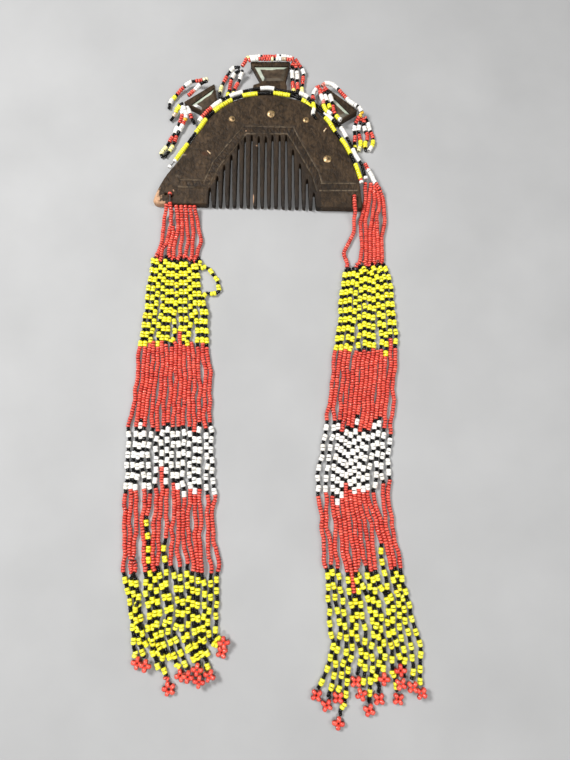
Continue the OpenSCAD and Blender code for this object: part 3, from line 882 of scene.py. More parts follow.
def tack(side):
    """A domed brass head, a little dented, with its shank in the wood."""
    x, y, width, dent_x, dent_y = TACKS[side]
    radius = width / 2
    shank = SHANK_D / 2
    dome_r = (radius**2 + TACK_DOME**2) / (2 * TACK_DOME)
    middle_z = FIT + TACK_DOME - dome_r
    dome = radius * np.sin(np.linspace(0.08, 1, 10) * math.pi / 2)
    profile = [(r, middle_z + math.sqrt(dome_r**2 - r**2)) for r in dome]
    profile += [(radius * 0.98, FIT - 0.02), (radius * 0.8, FIT), (shank + 0.15, FIT), (shank, FIT - 0.15),
                (shank, -SHANK_L * 0.6), (SHANK_D * 0.3, -SHANK_L * 0.85), (0.08, -SHANK_L)]
    rings = [level(circle(0, 0, r, TACK_SIDES), z) for r, z in profile]
    points = np.vstack(rings + [[(0, 0, FIT + TACK_DOME)], [(0, 0, -SHANK_L - 0.02)]])
    rows = len(profile)
    crown = np.arange(TACK_SIDES)
    tip = crown + (rows - 1) * TACK_SIDES
    skin = np.vstack([
        triangles(ring_quads(rows, TACK_SIDES)[:, [0, 3, 2, 1]]),
        columns([crown, np.roll(crown, -1), np.full(TACK_SIDES, rows * TACK_SIDES)]),
        columns([np.roll(tip, -1), tip, np.full(TACK_SIDES, rows * TACK_SIDES + 1)])])
    head = points[:, 2] > FIT - 0.05
    off = norms(points[:, :2] - np.array([dent_x, dent_y]) * radius)
    dent = np.exp(-(off / (0.42 * radius)) ** 2)
    points[head, 2] += waves(points[head, :2], [(2.6, 0.05)], draw) - DENT_DEPTH * dent[head]
    points[:, 2] = np.where(head, np.maximum(points[:, 2], FIT - 0.02), points[:, 2])
    reach = norms(points[:, :2]) / radius
    marks = {"dark": np.clip(np.maximum((reach - 0.8) * 4, dent * 1.1), 0, 1) * 0.85}
    build("tack_head_" + side, on_face(points, x, y), skin, "brass", ["tack_" + side], marks)


def nail(side):
    """A thin nail whose end is hammered over on to the face."""
    x, y, turn = NAILS[side]
    rise = NAIL_D / 2 + FIT
    path = smooth([(0, -SHANK_L), (0, -1), (0, 0), (0.12, rise * 0.85), (0.5, rise * 1.05),
                   (NAIL_L * 0.6, rise), (NAIL_L, rise)], 6)
    way = np.array([math.cos(math.radians(turn)), math.sin(math.radians(turn))])
    share = np.linspace(0, 1, len(path))
    radii = NAIL_D / 2 * np.minimum(1 - (share - 0.9).clip(0) * 5, 1 - (0.1 - share).clip(0) * 7)
    points, skin = tube(on_face(level(path[:, :1] * way, path[:, 1]), x, y), radii, 10)
    build("nail_end_" + side, points, skin, "steel", ["nail_" + side])


# Kinds of bead: radius, length, share of its look's tones from and to, and the section that it has.
# N is bare thread.
KINDS = {
    "R": (1.11, 1.27, 0.15, 0.85, "red"),
    "P": (1.05, 1.27, 0.97, 1.0, "red"),
    "F": (1.28, 2.05, 0.2, 0.8, "floret"),
    "Y": (1.2, 1.42, 0.2, 0.8, "yellow"),
    "S": (1.18, 1.28, 0.2, 0.8, "yellow"),
    "C": (1.10, 1.40, 0.9, 1.0, "yellow"),
    "O": (1.12, 1.40, 0.0, 0.05, "yellow"),
    "W": (1.2, 1.44, 0.3, 0.95, "white"),
    "V": (1.14, 1.30, 0.35, 0.95, "white"),
    "T": (1.05, 1.30, 0.0, 0.08, "white"),
    "K": (0.93, 1.03, 0.0, 1.0, "black"),
    "N": (0.30, 1.00, 0.0, 0.0, "none")}
KIND_KEYS = "".join(KINDS)
KIND_RADIUS, KIND_LENGTH, KIND_LOW, KIND_HIGH = np.array([kind[:4] for kind in KINDS.values()]).T
KIND_SECTION = np.array([kind[4] for kind in KINDS.values()])

# A bead's section: share of its radius and of its length, from one end to the other
ROUND_SECTION = [(0.42, -0.36), (0.86, -0.52), (1.0, -0.24), (1.0, 0.24), (0.86, 0.52), (0.42, 0.36)]
FLAT_SECTION = [(0.42, -0.36), (0.93, -0.52), (1.0, -0.34), (1.0, 0.34), (0.93, 0.52), (0.42, 0.36)]
SMALL_SECTION = [(0.4, -0.34), (0.78, -0.5), (1.0, 0.0), (0.78, 0.5), (0.4, 0.34)]
PETAL_SECTION = [(0.3, -0.36), (0.62, -0.5), (0.95, -0.26), (1.0, 0.0), (0.95, 0.26), (0.62, 0.5),
                 (0.3, 0.36)]
# For each section: its shape, sides and look
SECTIONS = {"red": (SMALL_SECTION, 12, "red"), "floret": (PETAL_SECTION, 16, "red"),
            "yellow": (ROUND_SECTION, 12, "yellow"), "white": (FLAT_SECTION, 12, "white"),
            "black": (SMALL_SECTION, 10, "black")}

# The radius of a thread, the height that no bead goes past, and the gap that every bead has to the floor
THREAD_R = 0.24
HIGHEST = 8.08
FLOOR_GAP = 0.04
# Beads are watched that have at most this gap between them, and looked for anew after so many rounds
WATCH_GAP = 1.2
WATCH_ROUNDS = 5


class Strings:
    """Beads on strings: places, kinds and which string each is on."""

    def __init__(self):
        self.parts = []
        self.axes = {}

    def add(self, points, kinds, hold):
        """A new string, of which hold says how firmly each bead stays at its place."""
        self.parts.append((points, [KIND_KEYS.index(k) for k in kinds], np.broadcast_to(hold, len(points))))

    def join(self):
        places, kinds, holds = zip(*self.parts)
        self.string = np.repeat(np.arange(len(places)), [len(part) for part in places])
        self.linked = np.flatnonzero(self.string[1:] == self.string[:-1])
        self.place = np.vstack(places)
        self.kind = np.concatenate(kinds)
        self.firm = np.concatenate(holds)
        self.radius = KIND_RADIUS[self.kind]
        self.length = KIND_LENGTH[self.kind]

    def near_pairs(self):
        """Beads of different strings, or far apart on one, that could touch."""
        tree = KDTree(len(self.place))
        for i, p in enumerate(self.place):
            tree.insert(p, i)
        tree.balance()
        reach = 2 * self.radius.max() + WATCH_GAP
        pairs = [(i, j) for i, p in enumerate(self.place) for _, j, _ in tree.find_range(p, reach) if j > i]
        a, b = np.array(pairs).T
        apart = (self.string[a] != self.string[b]) | (b - a > 2)
        return a[apart], b[apart]

    def gaps(self, a, b):
        """The direction and distance from each bead of a to its partner in b."""
        gap = self.place[b] - self.place[a]
        size = np.maximum(norms(gap), 1e-6)
        return gap / size[:, None], size

    def moves(self, a, b, shift):
        """How far each bead moves in all, where those of b move by their shifts and those of a back."""
        move = np.zeros_like(self.place)
        np.add.at(move, a, -shift)
        np.add.at(move, b, shift)
        return move

    def part_beads(self, a, b, give):
        """Moves each two beads that overlap away from each other."""
        way, size = self.gaps(a, b)
        push = np.maximum(give * (self.radius[a] + self.radius[b]) - size, 0)
        hit = push > 0
        hits = np.bincount(np.concatenate([a[hit], b[hit]]), minlength=len(self.place))[:, None]
        move = self.moves(a, b, way * (push * 0.5)[:, None])
        self.place += self.free * move / np.maximum(1, hits * 0.55)

    def settle(self, rounds, weight, stiffness, give=0.97):
        """Lets the strings find places where no two beads overlap and all lie on something."""
        target = self.place.copy()
        a, b = self.linked, self.linked + 1
        rest = (self.length[a] + self.length[b]) / 2
        links = np.bincount(np.concatenate([a, b]), minlength=len(self.place))[:, None]
        middle = a[1:][a[1:] == a[:-1] + 1]
        self.free = 1 - np.minimum(self.firm, 1)[:, None]
        for step in range(rounds):
            if step % WATCH_ROUNDS == 0:
                pairs = self.near_pairs()
            self.part_beads(*pairs, give)
            self.place[:, 2] -= weight * self.free[:, 0]
            self.place += self.free * self.firm[:, None] * (target - self.place)
            bend = (self.place[middle - 1] + self.place[middle + 1]) / 2 - self.place[middle]
            self.place[middle] += stiffness * self.free[middle] * bend
            for _ in range(2):
                way, size = self.gaps(a, b)
                move = self.moves(a, b, way * ((rest - size) / 2)[:, None])
                self.place += self.free * move / np.maximum(links, 1) * 1.6
            self.part_beads(*pairs, give)
            self.place[:, 2] = self.place[:, 2].clip(self.radius + FLOOR_GAP, HIGHEST - 1.06 * self.radius)

    def directions(self):
        """The way that each bead's string runs through it."""
        d = np.zeros_like(self.place)
        step, _ = self.gaps(self.linked, self.linked + 1)
        np.add.at(d, self.linked, step)
        np.add.at(d, self.linked + 1, step)
        for i, axes in self.axes.items():
            d[self.string == i] = axes
        return units(d)

    def only(self, members):
        """The given strings alone, as they lie."""
        part = Strings()
        for i in members:
            mine = self.string == i
            part.parts.append((self.place[mine], self.kind[mine], self.firm[mine]))
        part.join()
        return part

    def bead_pieces(self, name, nodes):
        """One piece for each colour."""
        d = units(self.directions() + draw.normal(0, 0.07, self.place.shape))
        for kind, (section, sides, colour) in SECTIONS.items():
            chosen = np.flatnonzero(KIND_SECTION[self.kind] == kind)
            n = len(chosen)
            if n == 0:
                continue
            low, high = (tones[self.kind[chosen]] for tones in (KIND_LOW, KIND_HIGH))
            tone = low + (high - low) * draw.uniform(0, 1, n)
            radii = self.radius[chosen] * draw.normal(1, 0.03, n).clip(0.93, 1.06)
            lengths = self.length[chosen] * draw.normal(1, 0.05, n).clip(0.88, 1.06) * 0.97
            points, skin = bead_skins(self.place[chosen], d[chosen], radii, lengths, section, sides)
            # Which rings lie at a bead's ends, where the colour gets painted shade
            seam = np.repeat([float(share_r < 0.95) for share_r, _ in section], sides)
            marks = {"tone": np.repeat(tone, len(section) * sides), "seam": np.tile(seam, n)}
            build(name + "_" + kind + "_beads", points, skin, colour, nodes, marks)

    def thread_piece(self, name, nodes):
        """The threads that run through the beads."""
        points = []
        skins = []
        count = 0
        for i in range(len(self.parts)):
            route = self.place[self.string == i]
            start = route[0] + (route[0] - route[1]) * 0.6
            end = route[-1] + (route[-1] - route[-2]) * 0.6
            part, skin = tube(np.vstack([start, route, end]), THREAD_R, 4)
            part[:, 2] = np.maximum(part[:, 2], 0.05)
            points.append(part)
            skins.append(skin + count)
            count += len(part)
        build(name, np.vstack(points), np.vstack(skins), "thread", nodes)


def bead_skins(places, axes, radii, lengths, section, sides):
    """One closed ring-shaped skin of quads for each bead."""
    around = spokes(axes, angles(sides) + draw.uniform(0, FULL_TURN, len(places))[:, None])
    rows = []
    for share_r, share_l in section:
        middle = places + axes * (lengths * share_l)[:, None]
        rows.append(middle[:, None] + around * (radii * share_r)[:, None, None])
    points = np.stack(rows, axis=1).reshape(-1, 3)
    points[:, 2] = np.maximum(points[:, 2], 0.02)
    starts = np.arange(len(places))[:, None, None] * len(section) * sides
    return points, (starts + ring_quads(len(section), sides, True)).reshape(-1, 4)


def lay_runs(route, runs, skip=0.0):
    """Beads spread over the route in runs of the given lengths, such as R3.5 K2: places and kinds."""
    total = run_lengths(route)[-1] - skip
    runs = [(run[0], float(run[1:])) for run in runs.split()]
    share = total / sum(length for _, length in runs)
    kinds = "".join(kind * max(1, round(length * share / KINDS[kind][1])) for kind, length in runs)
    lengths = np.array([KINDS[k][1] for k in kinds])
    lengths *= total / lengths.sum()
    return along(route, skip + np.cumsum(lengths) - lengths / 2), kinds


def lay_sections(route, sections):
    """Beads along a route, whose pattern changes at the given distances: places and kinds."""
    kinds = []
    where = []
    s = 0.0
    total = run_lengths(route)[-1]
    for pattern, end in sections:
        turn = 0
        while True:
            group = pattern[turn % len(pattern)]
            if group == "KK" and pattern == FRINGE and draw.uniform() < 0.45:
                group = "KKK"
            if s + sum(KINDS[k][1] for k in group) * 0.6 > min(end, total):
                break
            for k in group:
                where.append(s + KINDS[k][1] / 2)
                kinds.append(k)
                s += KINDS[k][1] * 1.01
            turn += 1
    while pattern == FRINGE and s < total:
        where.append(s + KINDS["K"][1] / 2)
        kinds.append("K")
        s += KINDS["K"][1] * 1.01
    return along(route, where), kinds


# The patterns of a band's sections, from the comb to the fringe, where a third black bead may follow two
RED = ["RR"]
YELLOW = ["KK", "YY"]
WHITE = ["KK", "WW"]
FRINGE = ["KK", "YY", "KK", "YY"]
# Florets: the radius of a ring of so many beads, how high it lies, how much higher on another ring, how near
# that ring is, and how far above a floret its strand ends
FLORET_RING = {4: 1.58, 5: 1.9}
FLORET_Z = 1.28
FLORET_LIFT = 2.1
FLORET_NEAR = 5.2
FLORET_GAP = 1.45
# How high a strand lies on the floor, and how far its middle is from the middle of the strand beside it
STRAND_Z = 1.15
STRAND_APART = 2.25
# How far beads stray from their strand's route
STRAY = 0.14
# The bends of a strand: wave length and height, and over how much of its ends they fade
BENDS = ((31, 0.5), (16, 0.5), (8.5, 0.42))
BEND_FADE = 8
# How firmly beads stay on their strand's route: on upper strands above a height and below it, on lower ones,
# at the start and end of these, and at the start of one on a detour, over so many beads
HIGH_Z = 1.7
HOLD_HIGH = 0.5
HOLD_UPPER = 0.06
HOLD_LOWER = 0.03
HOLD_START = 0.4
HOLD_END = 0.25
HOLD_DETOUR = 0.55
DETOUR_BEADS = 26
# The y at which a detour begins, and how far below its end the strand's own route goes on
DETOUR_Y = -30
DETOUR_GAP = 6

# Each band: upper strands as routes of x, y, z, and the patterns that some of them begin with;
# the x of the first and last lower strand at each y; where each ends: x, y and the beads in its floret;
# the strands that begin below the yellow section; at dense y, where in the band each strand lies;
# the y at which the first and last strand start; the y at which the sections end, how raggedly, and by how
# much some strands' sections end elsewhere;
# strands that wander: first and last, from and to y, and how far; and the routes of strands on a detour.
BANDS = {
    "left": {
        "tops": [
            [(-47.8, 2, 5), (-48.2, -1, 3.8), (-49, -5.1, 2), (-49.6, -10.7, 1.2), (-50.1, -16.4, 1.2),
             (-52.2, -27.6, 1.2)],
            [(-46, 8, 5.7), (-46, 5, 5.8), (-46, 2.4, 5.5), (-45.7, -0.6, 4.3), (-45.5, -4.6, 2.4),
             (-45.1, -10.7, 1.2), (-46.9, -16.9, 1.4), (-49.3, -21.9, 2.2), (-50.4, -28, 1.8)],
            [(-43, 1.85, 4), (-42, -6.2, 1.6), (-42.5, -11.9, 1.1), (-43.6, -17.5, 1.1), (-43.6, -29, 1.1)],
            [(-40.4, 1.8, 4), (-39.8, -7.9, 1.3), (-39.7, -16.4, 1.1), (-40.5, -21.9, 1.1),
             (-40.3, -29, 1.1)],
            [(-38.1, 1.75, 4), (-37.2, -7.9, 1.3), (-36.6, -16.4, 1.1), (-37.4, -23, 1.1),
             (-37.7, -29.4, 1.1)],
            [(-35.7, 1.7, 4), (-34.5, -7.9, 1.3), (-33.8, -13.6, 1.1), (-34.1, -21.9, 1.1),
             (-34.6, -29.4, 1.1)],
            [(-33.6, 1.6, 4), (-32, -6.2, 1.6), (-30.5, -13.6, 1.1), (-29.8, -18, 1.1), (-31.2, -23, 1.1),
             (-32.4, -29.6, 1.1)],
            [(-44.4, -9, 2.6), (-45, -14, 1.1), (-45.8, -19.7, 1.1), (-46.8, -28, 1.1)]],
        "heads": {1: [("R", 1.3), ("N", 5)]},
        "edges": [
            (-26, -52.4, -30.6), (-28, -53.5, -30.2), (-50, -56, -26.6), (-71, -57.8, -25.4),
            (-92, -59.4, -23.2), (-113, -61.2, -22.6), (-128, -61.6, -21.2), (-144, -61.2, -20),
            (-161, -61.2, -20), (-178, -60.2, -17.2), (-197, -56.3, -17.4), (-208, -54.6, -18)],
        "ends": [
            (-52, -219, 4), (-48, -219.5, 4), (-45, -214, 0), (-41.5, -225, 0), (-40.5, -217, 0),
            (-37.5, -229.5, 5), (-36, -221, 0), (-32.5, -224, 4), (-29, -224, 4), (-27.6, -219, 0),
            (-25, -221, 4), (-24, -226, 4), (-21, -216, 0), (-19.5, -223.5, 4), (-14.5, -214.5, 4),
            (-13.5, -210, 4)],
        "dense": (),
        "late": (3, 8, 12),
        "start": (-26, -28.4),
        "cuts": (-71.6, -112.8, -144, -178.3),
        "ragged": (1.4, 2.8, 1.8, 2.2),
        "early": {(9, 0): 8, (7, 1): 3.5, (6, 2): 13, (8, 2): 6, (4, 3): 24, (7, 3): 15},
        "wander": [(1, 14, -112, -150, 0.7), (2, 13, -170, -215, 1.7)],
        "detours": {15: [(-30.1, -31.8, 1.2), (-27.5, -31.5, 1.3), (-24.4, -33.9, 1.2), (-21.6, -37.6, 1.1),
                         (-19.8, -41.2, 1.1), (-20.5, -44.6, 1.1), (-23.1, -45.7, 1.3), (-25.9, -46, 2.2),
                         (-27.6, -48.8, 3), (-27, -53, 3)]}},
    "right": {
        "tops": [
            [(49.7, 6.6, 5.7), (49.8, 1.9, 5.5), (50, -2.3, 4.2), (49.8, -5, 2.4), (49.7, -9.3, 1.2),
             (48.6, -13.8, 1.1), (46.3, -19, 1.1), (44.4, -23.2, 1.1), (44.8, -26.5, 1.1),
             (46.6, -32.8, 1.1)],
            [(56, 15.4, 3), (56.2, 8, 1.6), (55.9, 4.7, 1.3), (54.8, -1.3, 1.1), (53.4, -5.8, 1.1),
             (53, -11.1, 1.1), (53.8, -18, 1.1), (53.2, -23.2, 1.1), (51.2, -32, 1.1)],
            [(59.1, 15.4, 2.6), (58.5, 10.1, 1.1), (57.2, 3, 1.1), (56, -4.1, 1.1), (55.8, -9.3, 1.1),
             (56.6, -15.6, 1.1), (55.9, -19, 1.1), (56, -23.2, 1.1), (54.8, -32, 1.1)],
            [(60.8, 14.2, 2.4), (61.6, 9, 1.1), (60.4, 3, 1.1), (59.3, -2.3, 1.1), (58.7, -9.3, 1.1),
             (58.2, -16.3, 1.1), (57.8, -31.4, 1.1)],
            [(61.2, -6, 1.1), (60, -12.8, 1.1), (59.9, -24.9, 1.1), (59.8, -31, 1.1)],
            [(62.4, 12.4, 2.4), (63.6, 8.7, 1.1), (63.3, 1.9, 1.5), (61.9, -3.1, 2.8), (61.3, -9.3, 3),
             (61.5, -17, 1.6), (61.8, -31, 1.1)],
            [(55.9, 25.6, 4.4), (57.6, 21.6, 4.4), (61, 14.8, 3.4), (65, 6, 1.2), (66.1, -2.3, 1.2),
             (65.2, -9.3, 1.2), (63.4, -15.6, 1.1), (62.6, -20.5, 1.5), (63, -31, 1.2)]],
        "heads": {6: [("R", 4.5), ("W", 12)]},
        "edges": [
            (-29, 45.2, 63.2), (-32, 45, 64.2), (-37, 44.4, 66.6), (-50, 42.4, 67.9), (-73, 39.4, 68.6),
            (-92, 36.8, 67.2), (-113, 33.9, 65), (-128, 30.8, 63.4), (-144, 29.4, 62.3), (-161, 31.2, 64.2),
            (-180, 32.7, 66.7), (-194, 33.6, 70), (-207, 34.7, 72.4), (-216, 34.2, 74.4)],
        "ends": [
            (27.5, -232, 4), (32, -236, 4), (37, -233, 4), (37, -243.2, 4), (45, -226.5, 4), (47, -231, 4),
            (50.5, -238, 4), (55, -233.5, 4), (57.5, -225.5, 4), (63.5, -233.5, 4), (65, -222, 4),
            (64.5, -226.8, 4), (69.5, -228, 4), (73.3, -230.5, 4)],
        "dense": (-113, -128, -144),
        "late": (4, 9),
        "shares": (0, 0.117, 0.212, 0.285, 0.336, 0.394, 0.445, 0.526, 0.591, 0.65, 0.737, 0.825, 0.905, 1),
        "start": (-32.8, -28.5),
        "cuts": (-74.2, -112.6, -143.6, -178),
        "ragged": (1.4, 3, 2, 2.2),
        "early": {(12, 0): 5, (1, 1): 2.5, (3, 1): -2.5, (5, 1): 1, (6, 1): 4.5, (7, 1): -3.5, (10, 1): 3,
                  (11, 1): 4.5, (13, 1): -4, (2, 2): -1.5, (3, 2): -5, (5, 2): 5, (13, 2): 7, (12, 2): 5,
                  (4, 3): -10, (10, 3): 12},
        "wander": [(3, 11, -100, -150, 0.9), (3, 11, -170, -216, 1.8)],
        "detours": {}}}


def section_ends(route, plan, strand):
    """How far along the route each section ends."""
    s = run_lengths(route)
    ends = []
    for k, (y, ragged) in enumerate(zip(plan["cuts"], plan["ragged"])):
        y += plan["early"].get((strand, k), draw.uniform(-1, 1) * ragged)
        ends.append(s[np.argmax(route[:, 1] <= y)])
    return ends + [s[-1]]


def sway(route, size):
    """The route with seeded bends to the left and right, none at its ends."""
    s = run_lengths(route)
    fade = np.clip(np.minimum(s, s[-1] - s) / BEND_FADE, 0, 1)
    bends = 0
    for wave, height in BENDS:
        wave = wave * draw.uniform(0.85, 1.15)
        bends = bends + height * np.sin(FULL_TURN * s / wave + draw.uniform(0, FULL_TURN))
    route[:, 0] += size * fade * bends
    return route


def add_floret(strings, x, y, beads, others):
    """A ring of beads laid flat, or on the ring that already lies there."""
    lift = FLORET_LIFT * any(math.hypot(x - a, y - b) < FLORET_NEAR for a, b in others)
    turn = draw.uniform(0, math.pi) + angles(beads)
    tilt = draw.normal(0, 0.1, 2)
    ring = columns([np.cos(turn), np.sin(turn)]) * FLORET_RING[beads]
    strings.add(level(ring + (x, y), FLORET_Z + lift + np.abs(ring @ tilt)), "F" * beads, 1.0)
    strings.axes[len(strings.parts) - 1] = columns([-np.sin(turn), np.cos(turn), np.zeros(beads)])
    others.append((x, y))


def strand_knots(plan, i):
    """The route of one lower strand, from the upper strands to a little above its end."""
    count = len(plan["ends"])
    first_ones = [k for k in range(count) if k not in plan["late"]]
    above = np.interp(i, first_ones, np.linspace(0, 1, len(first_ones)))
    beside = draw.uniform(-0.16, 0.16)
    knots = []
    for y, first, last in plan["edges"]:
        in_yellow = y > plan["cuts"][0] + 8
        pitch = (last - first) / ((len(first_ones) if in_yellow else count) - 1)
        share = above if in_yellow else i / (count - 1)
        x = first + (last - first) * (plan["shares"][i] if y in plan["dense"] else share)
        z = STRAND_Z
        if in_yellow:
            z += draw.uniform(0, 0.7)
        elif i % 2:
            z += math.sqrt(max(0.0, STRAND_APART**2 - pitch**2)) + draw.uniform(0, 0.9)
        if 0 < i < count - 1:
            x += (beside + draw.uniform(-0.26, 0.26)) * pitch
        for from_i, to_i, from_y, to_y, size in plan["wander"]:
            if from_i <= i <= to_i and to_y < y < from_y:
                x += draw.uniform(-size, size)
                z += draw.uniform(0, 1.2)
        knots.append((x, y, z))
    return knots


def band(side):
    """One long band: its strands, florets and threads."""
    plan = BANDS[side]
    strings = Strings()
    for i, top in enumerate(plan["tops"]):
        route = sway(smooth(top), size=0.3)
        points, kinds = lay_sections(route, plan["heads"].get(i, []) + [(RED, 99)])
        hold = np.where(points[:, 2] > HIGH_Z, HOLD_HIGH, HOLD_UPPER)
        hold[:2] = 1
        strings.add(points, kinds, hold)
    florets = []
    for i, (end_x, end_y, beads) in enumerate(plan["ends"]):
        knots = strand_knots(plan, i)
        detour = plan["detours"].get(i)
        if detour:
            back_y = detour[-1][1] - DETOUR_GAP
            knots = [k for k in knots if k[1] > DETOUR_Y] + detour + [k for k in knots if k[1] < back_y]
        from_x, from_y, _ = knots[-1]
        reach = math.hypot(end_x - from_x, end_y - from_y)
        short = (FLORET_RING[beads] + FLORET_GAP) / reach if beads else 0
        knots.append((end_x + (from_x - end_x) * short, end_y + (from_y - end_y) * short, STRAND_Z))
        route = sway(smooth(knots), size=0.8)
        begin_y = np.interp(i / (len(plan["ends"]) - 1), (0, 1), plan["start"]) + draw.uniform(-1.2, 1.2)
        if i in plan["late"]:
            begin_y = plan["cuts"][0] + 1
        if not detour:
            route = route[route[:, 1] < begin_y]
        ends = section_ends(route, plan, i)
        if i in plan["late"]:
            ends[0] = 0
        points, kinds = lay_sections(route, zip((YELLOW, RED, WHITE, RED, FRINGE), ends))
        if beads == 5:
            kinds[-2:] = "RR"
        while not beads and kinds[-1] == "K":
            kinds.pop()
        points = points[:len(kinds)] + draw.normal(0, STRAY, (len(kinds), 3))
        hold = np.full(len(points), HOLD_LOWER)
        hold[:2] = HOLD_START
        hold[-3:] = HOLD_END
        if detour:
            hold[:DETOUR_BEADS] = HOLD_DETOUR
        strings.add(points, kinds, hold)
        if beads:
            add_floret(strings, end_x, end_y, beads, florets)
    strings.join()
    strings.settle(rounds=100, weight=0.03, stiffness=0.04)
    nodes = ["bead_band_" + side]
    strings.bead_pieces("band_" + side, nodes)
    strings.thread_piece("band_" + side + "_threads", nodes)


